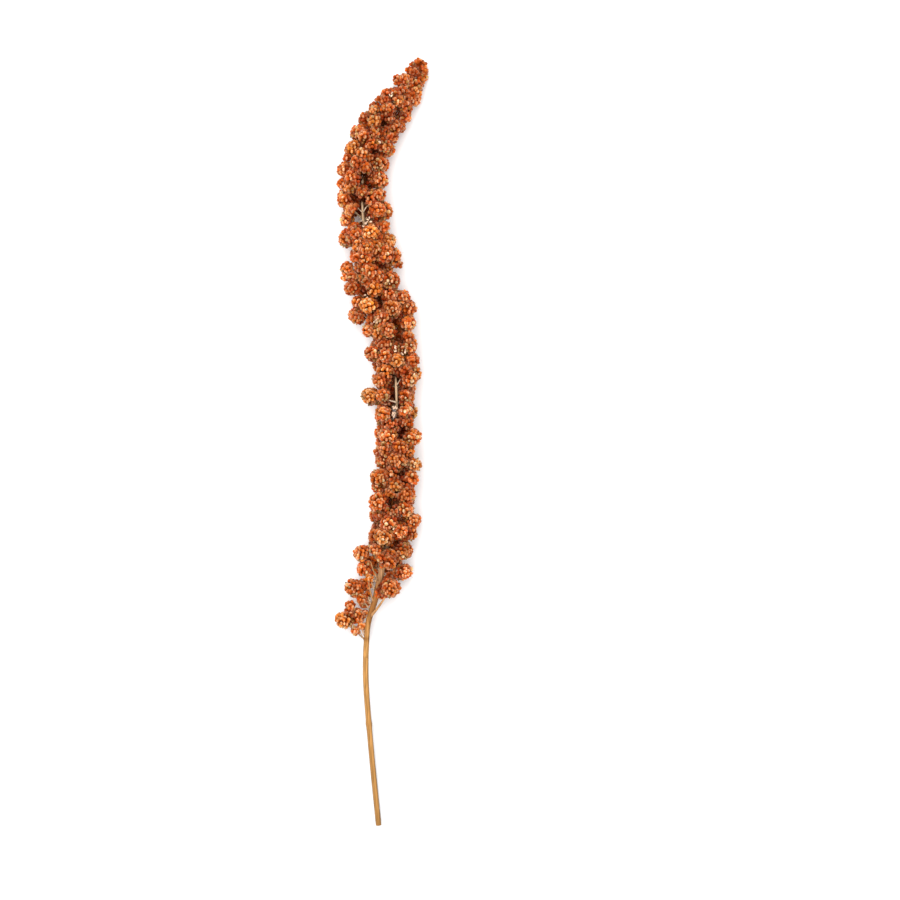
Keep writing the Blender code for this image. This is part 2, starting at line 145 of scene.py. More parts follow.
# Hollows in the head's upper side: start and end up the head, offset across, and half width.
HOLLOWS = (
    (220.5, 231.0, 0.0, 1.5), (240.5, 244.0, 0.4, 1.2), (239.0, 239.5, 4.1, 0.9), (233.0, 234.0, -3.9, 1.2),
    (257.0, 258.0, 3.3, 1.0), (272.5, 273.0, 1.4, 0.9), (281.0, 281.5, 3.4, 0.7), (196.0, 196.5, 6.8, 1.2),
    (181.0, 182.0, -0.3, 1.2), (187.0, 187.5, -6.1, 0.9), (160.5, 170.0, 5.0, 0.8), (127.0, 141.5, 0.0, 1.5),
    (115.0, 115.5, 2.7, 1.2), (94.0, 94.5, 3.3, 1.2), (78.5, 81.0, -0.5, 1.3), (72.0, 72.5, 5.9, 0.8),
    (60.5, 61.0, 5.3, 0.9), (57.0, 57.5, 1.1, 0.8),
)
# Where light comes right through the head: the same four values.
HOLES = ((222.5, 225.0, -3.0, 1.6), (122.5, 126.5, -1.3, 1.4))
# Lumps that shape the outline: distance up the head, distance across it (+ is the +X side) and radius.
SIDE_LUMPS = (
    (60.5, -4.6, 5.5), (79.0, -5.6, 5.5), (91.5, -6.2, 5.5), (104.0, -7.9, 4.0), (122.0, -8.0, 4.2),
    (133.5, -13.3, 5.0), (141.5, -7.9, 4.8), (155.5, -8.7, 5.2), (168.5, -9.1, 4.2), (176.0, -13.1, 4.8),
    (183.5, -11.3, 4.0), (191.5, -12.2, 4.5), (201.0, -12.3, 4.2), (206.5, -5.7, 4.5), (215.0, -9.3, 5.2),
    (223.5, -8.8, 4.0), (234.0, -8.1, 5.5), (246.5, -9.5, 4.8), (256.0, -7.8, 5.0), (264.0, -7.8, 5.0),
    (271.0, -8.2, 4.5), (278.0, -7.2, 4.0), (284.5, -5.0, 4.0), (289.5, -4.1, 4.0), (298.5, -2.9, 4.0),
    (66.0, 8.1, 5.0), (77.0, 6.8, 5.0), (88.5, 6.1, 5.0), (100.0, 5.8, 5.0), (113.5, 5.7, 5.0),
    (125.0, 6.0, 5.0), (135.5, 4.9, 5.0), (143.0, 8.7, 5.0), (150.0, 8.1, 5.0), (156.5, 8.3, 5.5),
    (167.5, 10.7, 4.5), (174.5, 12.7, 4.8), (180.5, 9.2, 4.8), (190.0, 6.7, 5.2), (201.5, 11.6, 5.2),
    (210.0, 10.7, 4.8), (218.5, 8.4, 4.5), (227.0, 10.1, 5.2), (234.5, 7.4, 4.5), (243.5, 8.1, 4.8),
    (253.5, 7.5, 5.0), (262.0, 7.6, 5.0), (269.5, 6.9, 4.5), (276.5, 7.9, 4.0), (283.0, 7.5, 4.0),
    (293.0, 6.2, 4.5),
)
# Lumps that hang loosely at the foot: distance up the head, across, above the line, and radius.
LOOSE_LUMPS = (
    (17.5, -11.7, -1.0, 5.2), (20.0, -5.6, -3.0, 5.0), (26.5, -3.6, -6.0, 3.8), (33.5, -9.9, 0.0, 5.5),
    (36.0, -4.9, -4.0, 4.2), (44.0, -7.1, -2.5, 4.8), (51.0, -10.3, 0.0, 5.0), (37.5, 6.9, 0.5, 5.5),
    (46.0, 10.9, -2.0, 4.6), (58.5, 9.0, 0.0, 5.0), (53.0, 3.1, 5.5, 5.0), (48.0, 2.0, -7.0, 5.0),
    (54.0, 0.6, -5.0, 4.2), (59.0, 4.6, -3.0, 4.5), (55.5, -4.3, -3.5, 4.2), (51.0, 7.6, -4.0, 4.0),
    (47.5, -4.1, -4.0, 4.0), (24.0, -9.8, -1.0, 3.4),
)
# Lumps of the front: distance up the head, distance across, and the radius of their bright middle.
FRONT_LUMPS = (
    (309.0, 1.0, 2.8), (304.0, -0.4, 3.0), (305.0, 4.8, 2.5), (298.0, -2.6, 3.3), (298.5, 4.0, 3.5),
    (289.0, -1.7, 3.3), (292.5, 4.9, 3.3), (286.5, -6.3, 3.0), (286.5, 4.6, 3.3), (279.5, -0.5, 4.0),
    (276.0, -6.8, 3.0), (282.5, 7.7, 3.0), (271.0, -3.2, 3.7), (271.0, -9.3, 3.0), (274.5, 6.6, 3.7),
    (263.0, -4.0, 4.0), (269.0, 7.4, 3.5), (262.5, 7.0, 3.7), (256.0, -7.7, 4.2), (254.5, -2.4, 3.2),
    (252.5, 6.3, 4.2), (249.5, -3.8, 4.0), (243.0, -5.6, 3.5), (243.5, 8.8, 4.2), (238.0, -5.8, 3.5),
    (235.0, 0.8, 2.2), (234.0, 8.1, 4.0), (227.0, 7.7, 4.2), (225.5, 11.5, 3.5), (227.0, -4.6, 2.5),
    (215.5, 2.7, 4.5), (216.0, -4.2, 3.5), (217.5, 9.9, 3.2), (207.5, -0.1, 4.2), (203.0, 7.5, 4.7),
    (204.5, -6.3, 3.2), (196.0, -1.2, 4.2), (189.0, 7.1, 4.7), (192.0, -4.4, 3.0), (191.0, -12.0, 4.0),
    (180.0, -6.3, 4.5), (177.5, -13.4, 4.3), (175.5, 4.5, 5.0), (180.0, 11.5, 3.5), (165.5, 0.2, 4.2),
    (167.0, 10.6, 3.7), (167.5, -9.2, 3.5), (160.5, 9.2, 3.5), (155.5, 8.6, 3.5), (156.0, -9.5, 4.2),
    (153.5, -3.2, 3.7), (150.5, 1.8, 4.0), (149.5, 9.1, 3.7), (141.0, -7.2, 4.2), (141.0, 7.2, 4.2),
    (132.5, 4.3, 3.5), (133.5, -6.6, 3.7), (123.5, -6.3, 4.2), (126.0, 3.7, 4.2), (112.5, -4.1, 4.2),
    (107.5, 1.6, 4.0), (112.5, 7.8, 4.2), (101.0, 0.9, 4.5), (91.5, -6.5, 4.7), (92.5, 8.4, 3.7),
    (99.0, 9.9, 3.2), (88.0, 1.3, 3.5), (84.0, 6.1, 4.5), (79.0, -6.4, 4.7), (77.0, 6.8, 4.0),
    (62.0, -1.2, 4.5), (72.0, 11.5, 3.8), (66.5, 6.0, 4.0), (66.0, 11.2, 3.5), (57.5, 9.8, 4.5),
    (51.0, 4.3, 3.7), (47.0, 12.6, 3.8), (38.0, 7.7, 4.5), (309.5, -0.2, 3.0), (307.0, 3.4, 3.0),
    (301.5, 4.2, 3.2), (296.5, 5.4, 3.2), (292.0, 6.6, 3.2), (286.5, 6.4, 3.0), (296.5, 2.6, 3.2),
    (292.5, -0.4, 3.0), (286.5, 0.9, 3.2), (307.5, -3.1, 1.8), (303.5, -3.5, 2.1), (295.0, -4.9, 2.3),
    (282.5, -8.3, 2.3), (262.5, -10.4, 2.3), (251.5, -9.6, 2.3), (240.0, -10.3, 2.8), (197.0, 13.1, 2.5),
    (197.0, -14.2, 2.4), (86.5, -8.3, 2.6),
)
# How far below them the stalks of the loose lumps and of the last lump leave the rachis.
STALK_CLIMB = 9.0
TIP_CLIMB = 8.0
# The lowest place where a stalk leaves the rachis.
LOWEST_ROOT = 1.5
# A lump may press this far into the surface, where it is flattened.
PRESS = 0.7

# Grains, in mm

# A hollow reaches this far below the line of the rachis, and grains stay this far out of it.
HOLLOW_DEPTH = 1.0
HOLLOW_ROOM = 0.3
# A husked grain: its length, its width as a share of that, and its distance to the next one.
GRAIN_LENGTH = 2.2
GRAIN_WIDTH = 0.94
GRAIN_PITCH = 1.9
GRAIN_SIDES = 8
# Area that a closely packed grain takes, as a share of its pitch squared, and the fewest on a tuft.
GRAIN_AREA = 0.866
FEWEST_GRAINS = 8
# How far grains shift over the tuft, as a share of their pitch, and how far they sink into it.
GRAIN_SHIFT = 0.16
GRAIN_SINK = 0.28
# The range of their lengths, and of their thickness as a share of their width.
GRAIN_LENGTHS = (0.86, 1.1)
GRAIN_FLATNESS = (0.86, 1.0)
# Each tuft has a few rounded lobes: how high they stand as a share of its radius, and how close they are.
LOBE = 0.1
LOBES = 3.4
# Rings of a grain from its base (0) to its tip (1), with the radius there as a share of the widest.
GRAIN_RINGS = ((0.2, 0.78), (0.52, 1.0), (0.82, 0.66))
# How strongly grains lean towards the tip of the head, and at random.
GRAIN_LEAN = 0.35
GRAIN_STRAY = 0.28
# Share of grains that are empty husks, anywhere and on a tuft's footward side, and their size in grains.
HUSK_SHARE = 0.05
FOOT_HUSK_SHARE = 0.4
HUSK_LENGTH = 1.2
HUSK_WIDTH = 0.6
# An inner tuft, nearer the rachis, fills the neck of each tuft: where it lies and its radius, as shares.
NECK_AT = 0.5
NECK_RADIUS = 0.6
# Small tufts that only fill gaps between the others: distance up the head, across, above, and radius.
EXTRA_TUFTS = (
    (164.0, 6.5, -3.0, 3.5), (196.5, -10.5, 0.5, 3.8), (52.0, 0.6, 8.0, 3.9), (55.0, -3.6, 7.4, 3.9),
    (20.5, -9.5, -1.0, 3.8), (309.5, 1.8, 0.6, 3.2), (297.0, -6.3, 0.0, 2.8), (130.8, -12.6, 0.0, 3.2),
)
# Loose husks: distance up the head, across, above the line, how many, and how far they spread.
CHAFF = (
    (221.0, 2.8, 7.5, 6, 2.4), (218.8, 0.6, 8.2, 4, 2.0), (170.7, -4.2, 8.8, 8, 2.8),
    (126.4, -1.0, 8.0, 5, 1.2), (123.8, -1.5, 8.0, 8, 1.4), (156.0, 2.7, 9.8, 3, 1.6),
    (153.0, 6.2, 8.8, 3, 1.8), (184.8, -6.4, 9.2, 3, 1.8), (131.5, -5.0, 6.0, 3, 1.4),
    (68.0, 2.7, 9.6, 2, 1.4), (286.5, -3.9, 6.8, 3, 1.5), (263.0, 2.7, 8.2, 2, 1.4),
)
CHAFF_LENGTH = 2.0
CHAFF_WIDTH = 0.46
CHAFF_THICKNESS = 0.3
# The range of their lengths and of their distances from the middle of their spot.
CHAFF_LENGTHS = (0.7, 1.15)
CHAFF_SPREAD = (0.3, 1.0)
# They spread, and lie, less up and down than sideways: the share of each direction.
CHAFF_LAYER = (1.0, 1.0, 0.3)
CHAFF_LIE = (1.0, 1.0, 0.5)
# A grain is left out where it would be this far inside another tuft.
BURIED = 1.5
# The grains are shared out over this many pieces up the head.
PIECES = 5
# How far below a tuft's outside its dark core lies, as a share of a grain's length, and the least core.
CORE_DEPTH = 0.72
LEAST_CORE = 0.4

# Bristles, in mm

BRISTLE_LENGTH = 2.6
BRISTLE_RADIUS = 0.06
# The share of the grains that have one, the range of their lengths, and how far they stray.
BRISTLE_SHARE = 0.16
BRISTLE_LENGTHS = (0.75, 1.15)
BRISTLE_STRAY = 0.35
# Angles of the three corners of its foot, and the slant that these are turned by.
BRISTLE_CORNERS = (0, 2.09, 4.19)
BRISTLE_SLANT = (0.3, 0.5, 0.8)

# Rachis, branchlets and stalks, in mm

RACHIS_SIDES = 18
RACHIS_RINGS = 160
# Painted shade: how much darker its sides and underside are than the painted bright line up it.
RACHIS_SIDE_SHADE = 0.85
# Radius of the rachis along the head, from its foot (0) to its tip (1).
RACHIS_RADIUS = (
    (0.0, 1.45), (0.05, 1.4), (0.12, 1.6), (0.18, 1.5), (0.3, 1.0), (0.4, 0.68), (0.75, 0.66), (1.0, 0.3),
)
# The share of that radius that it has where tufts hide it.
RACHIS_HIDDEN = 0.5
# The rachis rises towards the light between these distances up the head, where it shows, by this much,
# and the rise eases out over this many of their half lengths.
RACHIS_SHOWS = ((220.0, 231.0), (241.0, 243.0), (125.0, 141.5))
RACHIS_RISE = 2.6
RACHIS_EASE = 1.3
# Its painted light is full up to this distance, and fades over this length.
FOOT_LIGHT = 52.0
FOOT_LIGHT_FADE = 8.0
# At the head's foot it bows to +X by this much, at some distances up the head.
RACHIS_BOW = ((0.0, 0.0), (12.0, 0.3), (32.0, 1.7), (48.0, 1.7), (75.0, 0.0), (320.0, 0.0))
# Its foot starts this far inside the straw.
RACHIS_INSET = 0.6
# Thin branchlets: radius and taper, how far they sag (a share of their length), and how far they stray.
BRANCH_RADIUS = 0.3
BRANCH_TAPER = (1.4, 0.8)
BRANCH_SAG = 0.12
BRANCH_STRAY = 0.3
BRANCH_SIDES = 6
BRANCH_RINGS = 6

# Pale stalks that show on the upper side: from and to, each as distance up the head, across and above the
# line, then the radius at its foot.
SHOWN_STALKS = (
    ((21.5, 1.3, 1.2), (34.3, 6.8, 4.3), 0.75), ((37.0, 2.5, 1.6), (42.5, 7.4, 4.5), 0.34),
    ((29.0, 0.9, 1.4), (38.6, -3.8, 1.0), 0.42), ((40.0, 1.1, 1.6), (48.5, -4.8, 2.1), 0.38),
    ((8.6, -0.8, 0.4), (16.6, -7.2, 0.6), 0.2), ((10.8, -0.9, 0.2), (20.0, -5.0, 0.0), 0.18),
    ((226.2, 0.2, 3.2), (229.4, 3.0, 5.0), 0.32), ((226.4, -0.2, 3.2), (229.0, -2.6, 4.2), 0.3),
    ((222.6, -0.2, 3.0), (221.0, -3.2, 2.6), 0.28), ((129.6, -0.2, 3.4), (131.0, -4.8, 5.4), 0.5),
    ((125.2, 0.0, 3.0), (122.4, 2.6, 4.2), 0.3), ((138.0, 0.2, 3.0), (142.2, 3.2, 6.0), 0.3),
)
# How far they bow (a share of their length), and the share of the radius left at the far end.
STALK_BOW = 0.04
STALK_TAPER = 0.55
STALK_SIDES = 8
STALK_RINGS = 9

# Straw, in mm

STEM_SIDES = 28
STEM_RINGS = 150
# Fine ribs and a few broad flutes run along it: how many, and how deep.
STEM_RIBS = 11
STEM_RIB_DEPTH = 0.012
STEM_FLUTES = 3
STEM_FLUTE_SHARE = 0.4
# It stays this far inside its solid.
STEM_CLEARANCE = 0.03
# How much the straw's lengthwise bands differ in tone, and its tone at the cut end.
STEM_BANDING = 0.42
STEM_DARK_END = 0.78
# Painted shade and highlight: how much darker its sides and underside are than the painted bright line up
# it, and where that line is.
STEM_SIDE_SHADE = 0.75
STEM_HIGHLIGHT_SIDE = math.radians(108.0)
# Radius of the pith at the cut end, as a share of the straw's.
STEM_PITH_SHARE = 0.78

# Colours, as linear RGB

ORANGE = (0.66, 0.121, 0.002)
RUST = (0.45, 0.049, 0.001)
TAN = (0.73, 0.25, 0.026)
CREAM = (0.70, 0.49, 0.30)
CHAFF_TINT = (0.78, 0.54, 0.38)
# Painted shade: the dark brown of the inside of a tuft.
CORE_SHADE_BROWN = (0.11, 0.014, 0.0015)
STRAW = (0.54, 0.27, 0.084)
PITH = (0.54, 0.42, 0.26)
STEM_RIND = (0.24, 0.11, 0.03)
# Painted shade for stalks between the tufts, and the colours of the stalks that show, at the foot and
# further up.
SHADED_STALK = (0.17, 0.042, 0.009)
FOOT_STALK = (0.47, 0.24, 0.10)
PALE_STALK = (0.62, 0.46, 0.32)
FOOT_STALKS_END = 60.0
# Colour of the rachis at some distances up the head.
RACHIS_TINTS = (
    (0.0, STRAW), (7.5, STRAW), (9.0, (0.26, 0.10, 0.024)), (11.0, (0.44, 0.21, 0.066)),
    (22.0, (0.31, 0.128, 0.036)), (36.0, (0.28, 0.118, 0.038)), (44.0, (0.48, 0.25, 0.12)),
    (60.0, (0.51, 0.34, 0.205)), (320.0, (0.51, 0.34, 0.205)),
)
# Ranges of tone from one to the next.
TUFT_TONES = (0.82, 1.15)
GRAIN_TONES = (0.74, 1.28)
HUSK_TONES = (0.5, 1.0)
CHAFF_TONES = (0.7, 1.05)
BRISTLE_TONES = (0.4, 1.6)
BRANCH_TONES = (0.7, 1.1)
STALK_TONES = (0.85, 1.1)
# The most rust and tan that a grain takes on by itself, the power that makes much of it rare, how much
# rust its tuft adds, and the most of either. A few grains are cream.
GRAIN_BLEND = 0.7
RUST_POWER = 1.5
TAN_POWER = 3
TUFT_RUST = 0.45
MOST_BLEND = 0.9
CREAM_SHARE = 0.04

# Painted light and shade on the grains, and their own tones

# Painted shade and darker tones take more from green and blue than from red: the power for each of the
# three.
SHADE_POWERS = (0.78, 1.45, 2.8)
# Painted shade along a grain from its base (0) to its tip (1), darkest at the base where the grains pack,
# and how far it pales towards cream: partly the husk's pale tip, partly a painted highlight.
BASE_SHADE_TONES = ((0.0, 0.2, 0.55, 1.0), (0.42, 0.672, 0.9, 1.0))
TIP_PALENESS_AND_HIGHLIGHT = ((0.0, 0.6, 1.0), (0.0, 0.05, 0.35))
# How far it pales along its seams, how that differs from grain to grain, and how bright that cream is.
SEAM_PALENESS = 0.7
PALENESS_TONES = (0.1, 1.5)
PALE_GAIN = 2.0
# Tone round a grain, repeated: its seam, its shoulder, its dark flank, its other shoulder.
FLANK_TONES = (1.0, 0.92, 0.62, 0.92)
SPECKLE = (0.8, 1.2)
# Painted shade on the grains deep between the tufts: how dark they are,
# and over which share of the head's radius that fades.
INNER_SHADE = 0.4
INNER_REACH = (0.3, 0.75)
# Grains beyond these shares of the radius get no painted shade, whatever is beside them.
LIT_REACH = (0.78, 1.0)
# Painted shade where two tufts press together: how dark the grains are,
# and how far it reaches as a share of a radius.
CREVICE_SHADE = 0.47
CREVICE = (0.8, 1.28)
# Painted shade on the inner grains beside a hollow: how dark they are, and how far from it that fades out.
HOLLOW_SHADE = 0.42
HOLLOW_REACH = (0.6, 2.8)
# The painted crevice shade fades out between these distances up the head, where the tufts get small.
TIP_CLEARS = (262.0, 300.0)
TIP_CLEARNESS = 0.85
# More than any distance that counts, in mm or in radii.
FAR = 9.0
# Places on the upper side where empty husks crowd: distance up the head, across, radius and share.
PALE_SPOTS = (
    (220.8, 2.8, 2.5, 0.8), (170.7, -4.2, 3.5, 0.8), (184.8, -6.4, 2.5, 0.5), (156.0, 2.7, 2.5, 0.6),
    (153.0, 6.2, 2.5, 0.6), (56.0, -0.1, 2.5, 0.6), (68.0, 2.7, 2.0, 0.5), (252.0, 6.5, 3.5, 0.3),
    (189.0, 7.1, 4.0, 0.35), (100.0, 9.4, 3.0, 0.4), (194.0, -6.4, 3.0, 0.6), (286.5, -3.9, 2.0, 0.7),
    (263.0, 2.7, 2.0, 0.5), (18.0, -10.0, 6.0, 0.3), (31.0, 7.0, 3.0, 0.5), (48.0, 11.5, 3.0, 0.35),
)
PALE_SPOT_EDGE = 1.6
# Some tufts have more tan: how much, and the share of the tufts.
PALE_TUFT = 0.5
PALE_TUFT_SHARE = 0.14

# Surfaces

GLOSS_TINT = (1.0, 0.52, 0.2)
# Roughness, then how strongly it shines.
HUSK_FINISH = (0.36, 0.2)
CORE_FINISH = (0.9, 0.05)
STRAW_FINISH = (0.38, 0.25)
RACHIS_FINISH = (0.62, 0.25)
# Noise in cycles per metre, then the range of tone that it gives.
HUSK_PATCHES = (900.0, (0.64, 1.3))
HUSK_WRINKLES = (3200.0, (0.78, 1.22))
CORE_PATCHES = (1400.0, (0.5, 1.6))
STRAW_BLOTCHES = (90.0, (0.86, 1.12))
STREAKS = 1600.0
STRAW_STREAK_TONES = (0.62, 1.28)
RACHIS_STREAK_TONES = (0.45, 1.4)
# How strongly wrinkles and streaks stand out, and how high, in metres.
RELIEF = 0.5
WRINKLE_HEIGHT = 0.00012
STREAK_HEIGHT = 0.0001
# Streaks and blotches are drawn out along Y: their frequency in X, Y and Z.
STREAK_STRETCH = (1.0, 0.035, 1.0)
BLOTCH_STRETCH = (1.0, 0.5, 1.0)

# Floor and light, in metres and watts

FLOOR_SIZE = 6.0
FLOOR_DROP = 0.0002
FLOOR_GREY = 0.93
FLOOR_ROUGHNESS = 0.9
ROOM_LIGHT = 0.65
KEY_PLACE = (-0.12, 0.18, 1.3)
KEY_SIZE = 1.3
KEY_POWER = 25.0

# Camera, in mm

# It looks straight down: this point of the drawing fills the middle, and the picture is this wide there.
FRAME_CENTRE = Vector((35.0, -5.0, 14.0))
FRAME_WIDTH = 450.0
LENS = 85.0
SENSOR = 36.0


def along(stations, u):
    """The value at u of a table of (u, value) stations, eased between them."""
    for (u0, v0), (u1, v1) in zip(stations, stations[1:]):
        if u <= u1:
            t = max(0.0, (u - u0) / (u1 - u0))
            return v0 + (v1 - v0) * t * t * (3 - 2 * t)
    return stations[-1][1]


class Axis:
    """A smooth line through AXIS_POINTS, read by distance from the cut end, in mm."""

    def __init__(self):
        points = [Vector(p) - ORIGIN for p in AXIS_POINTS]
        ends = [2 * points[0] - points[1], *points, 2 * points[-1] - points[-2]]
        self.line = []
        for a, b, c, d in zip(ends, ends[1:], ends[2:], ends[3:]):
            for step in range(SAMPLES_PER_SPAN):
                t = step / SAMPLES_PER_SPAN
                self.line.append(0.5 * (2 * b + (c - a) * t + (2 * a - 5 * b + 4 * c - d) * t ** 2
                                        + (3 * b - 3 * c + d - a) * t ** 3))
        self.line.append(points[-1])
        self.distance = [0.0]
        for p, q in zip(self.line, self.line[1:]):
            self.distance.append(self.distance[-1] + (q - p).length)
        self.length = self.distance[-1]

    def at(self, s):
        """(point, tangent, side, up) at distance s. side points to +X and up away from the surface."""
        s = min(max(s, 0.0), self.length)
        i = next((k for k, d in enumerate(self.distance[1:]) if d >= s), len(self.line) - 2)
        p, q = self.line[i], self.line[i + 1]
        point = p.lerp(q, (s - self.distance[i]) / (self.distance[i + 1] - self.distance[i]))
        tangent = (q - p).normalized()
        side = tangent.cross(Vector((0, 0, 1))).normalized()
        return point, tangent, side, side.cross(tangent)


def lump(axis, s, across, above, radius):
    """A lump of grain as (centre, radius), at distance s up the head and kept off the surface."""
    point, _, side, up = axis.at(STEM_LENGTH + s)
    centre = point + side * across + up * above
    centre.z = max(centre.z, radius - PRESS)
    return centre, radius


def root_below(axis, s, climb):
    """The point of the rachis that far below distance s up the head."""
    return axis.at(STEM_LENGTH + max(s - climb, LOWEST_ROOT))[0]


def front_height(s, across, radius, head):
    """How far above the rachis a lump lies that just reaches the head's upper side."""
    outer = along(HEAD_RADIUS, s / head) * FRONT_FLATTENING
    return max(math.sqrt(max(outer ** 2 - across ** 2, 0.0)) - radius, 0.0)


def opens(s, across, room, openings):
    """Whether a place on the head is less than room outside one of the openings."""
    for start, end, middle, half_width in openings:
        off = math.hypot(max(start - s, s - end, 0.0), across - middle)
        if off < half_width + room:
            return True
    return False


def loose_lumps(axis):
    """(lump, its root on the rachis) for each lump that hangs loosely at the foot."""
    return [(lump(axis, *row), root_below(axis, row[0], STALK_CLIMB)) for row in LOOSE_LUMPS]


def measured_lumps(axis, head, draw):
    """(lump, its root) for the lumps that shape both sides and for those of the front."""
    found = []
    for s, across, radius in SIDE_LUMPS:
        above = draw.uniform(-REACH_STRAY, REACH_STRAY)
        found.append((lump(axis, s, across, above, radius), root_below(axis, s, LEAN * abs(across))))
    for s, across, bright_radius in FRONT_LUMPS:
        radius = along(FRONT_FULLNESS, s / head) * bright_radius
        above = front_height(s, across, radius, head) - draw.uniform(0, REACH_STRAY)
        root = root_below(axis, s, LEAN * math.hypot(across, above))
        found.append((lump(axis, s, across, above, radius), root))
    return found


def has_room(made, place, across, front, others):
    """Whether a lump of the spiral stays out of the openings and clear enough of the other lumps."""
    centre, radius = made
    if opens(place, across, 0.0, HOLES):
        return False
    if front and opens(place, across, HOLLOW_CLEARANCE * radius, HOLLOWS):
        return False
    share = FRONT_CROWDING if front else CROWDING
    return all((centre - other).length >= share * (radius + size) for (other, size), _ in others)


def packed_lumps(axis):
    """(lump, its root) for the measured lumps, and for a golden-angle spiral that fills the rest."""
    draw = random.Random(SEED)
    head = axis.length - STEM_LENGTH
    found = measured_lumps(axis, head, draw)
    loose = loose_lumps(axis)
    s, angle = SPIRAL_START, 0.0
    while s < head:
        u = s / head
        radius = along(LUMP_RADIUS, u) * draw.uniform(1 - RADIUS_STRAY, 1 + RADIUS_STRAY)
        outer = along(HEAD_RADIUS, u)
        stray = draw.uniform(-REACH_STRAY, OUTWARD_SHARE * REACH_STRAY)
        reach = max(outer - radius + stray, LEAST_REACH * radius)
        turn = angle + draw.uniform(-ANGLE_STRAY, ANGLE_STRAY)
        place = min(s + LEAN * reach, head)
        front = math.sin(turn) > FRONT_FROM
        reach -= FRONT_SINK * front
        across = ACROSS_SHARE * reach * math.cos(turn)
        made = lump(axis, place, across, reach * math.sin(turn), radius)
        if has_room(made, place, across, front, found + loose):
            found.append((made, root_below(axis, place, LEAN * reach)))
        s += PACKING * radius ** 2 / (2 * math.pi * (outer - PACKED_DEPTH * radius))
        angle += GOLDEN_ANGLE
    last = lump(axis, head, 0.0, 0.0, along(LUMP_RADIUS, 1.0))
    found.append((last, root_below(axis, head, TIP_CLIMB)))
    return found


def unit(vectors):
    return vectors / np.maximum(np.linalg.norm(vectors, axis=-1, keepdims=True), 1e-9)


def askew(directions):
    """An axis well away from each direction: Z, or X where that is steep."""
    return np.where(np.abs(directions[..., 2:]) < STEEP, [0.0, 0.0, 1.0], [1.0, 0.0, 0.0])


def angles_round(sides):
    return 2 * math.pi * np.arange(sides) / sides


class Spine:
    """The axis as arrays, to tell where points lie along the head, across it and above it, in mm."""

    def __init__(self, axis):
        self.points = np.array([p[:] for p in axis.line])
        self.distance = np.array(axis.distance) - STEM_LENGTH
        self.tangent = unit(np.gradient(self.points, axis=0))
        self.side = unit(np.cross(self.tangent, [0.0, 0.0, 1.0]))
        self.up = np.cross(self.side, self.tangent)

    def nearest(self, points):
        return np.argmin(np.linalg.norm(points[:, None] - self.points[None], axis=2), axis=1)

    def places(self, points):
        """One row (distance up the head, across, above, distance from the axis) for each point."""
        k = self.nearest(points)
        off = points - self.points[k]
        across = np.sum(off * self.side[k], axis=1)
        above = np.sum(off * self.up[k], axis=1)
        return np.stack([self.distance[k], across, above, np.linalg.norm(off, axis=1)], axis=1)


class Tufts:
    """Every tuft of grain as arrays, in mm: centre, radius, root on the rachis, and place on the head.

    Each has an inner tuft at its neck, and whole tells which tuft an inner one belongs to.
    """

    def __init__(self, axis, spine):
        packed, loose = packed_lumps(axis), loose_lumps(axis)
        rows = packed + loose
        self.main = len(rows)
        centre = np.array([place[0][:] for place, _ in rows])
        radius = np.array([place[1] for place, _ in rows])
        root = np.array([point[:] for _, point in rows])
        neck = root + NECK_AT * (centre - root)
        extra = [lump(axis, *row) for row in EXTRA_TUFTS]
        extra_roots = [axis.at(STEM_LENGTH + row[0])[0][:] for row in EXTRA_TUFTS]
        self.centre = np.vstack([centre, neck, [place[:] for place, _ in extra]])
        self.radius = np.concatenate([radius, NECK_RADIUS * radius, [row[3] for row in EXTRA_TUFTS]])
        self.root = np.vstack([root, root, extra_roots])
        numbers = np.arange(len(rows))
        self.whole = np.concatenate([numbers, numbers, np.full(len(extra), -1)])
        self.loose = self.whole >= len(packed)
        self.place = spine.places(self.centre)
        self.tipward = spine.tangent[spine.nearest(self.centre)]


def in_opening(places, room):
    """Which places on the head are less than room outside a hole, or a hollow that starts at the rachis."""
    found = [opens(s, across, room, HOLES) or (above > -HOLLOW_DEPTH and opens(s, across, room, HOLLOWS))
             for s, across, above, _ in places]
    return np.array(found)


def ball_points(count):
    """That many unit vectors, evenly spread over a ball."""
    i = np.arange(count) + 0.5
    z = 1 - 2 * i / count
    turn = 2 * math.pi * i / GOLDEN_RATIO
    ring = np.sqrt(1 - z * z)
    return np.stack([ring * np.cos(turn), ring * np.sin(turn), z], axis=1)


def turned_to(outward, draw):
    """A rotation that takes +Z to outward, after a random turn about it."""
    a = unit(np.cross(askew(outward), outward))
    b = np.cross(outward, a)
    spin = draw.uniform(0, 2 * math.pi)
    x = math.cos(spin) * a + math.sin(spin) * b
    y = np.cross(outward, x)
    return np.stack([x, y, outward], axis=1)


def grains_on(centre, radius, root, draw):
    """The grains over one tuft, spread evenly with a little stray: where each is and where it faces."""
    inner = radius - 0.5 * GRAIN_LENGTH
    count = max(int(4 * math.pi * inner ** 2 / (GRAIN_AREA * GRAIN_PITCH ** 2)), FEWEST_GRAINS)
    facing = ball_points(count) @ turned_to(unit(centre - root), draw).T
    facing = unit(facing + draw.normal(0, GRAIN_SHIFT * GRAIN_PITCH / inner, facing.shape))
    depth = draw.uniform(-GRAIN_SINK, 0.0, count)
    lobe_line = unit(draw.normal(0, 1, 3))
    lobe = LOBE * np.sin(LOBES * (facing @ lobe_line) + draw.uniform(0, 2 * math.pi)) - LOBE / 2
    return centre + facing * (inner * (1 + lobe) + depth)[:, None], facing


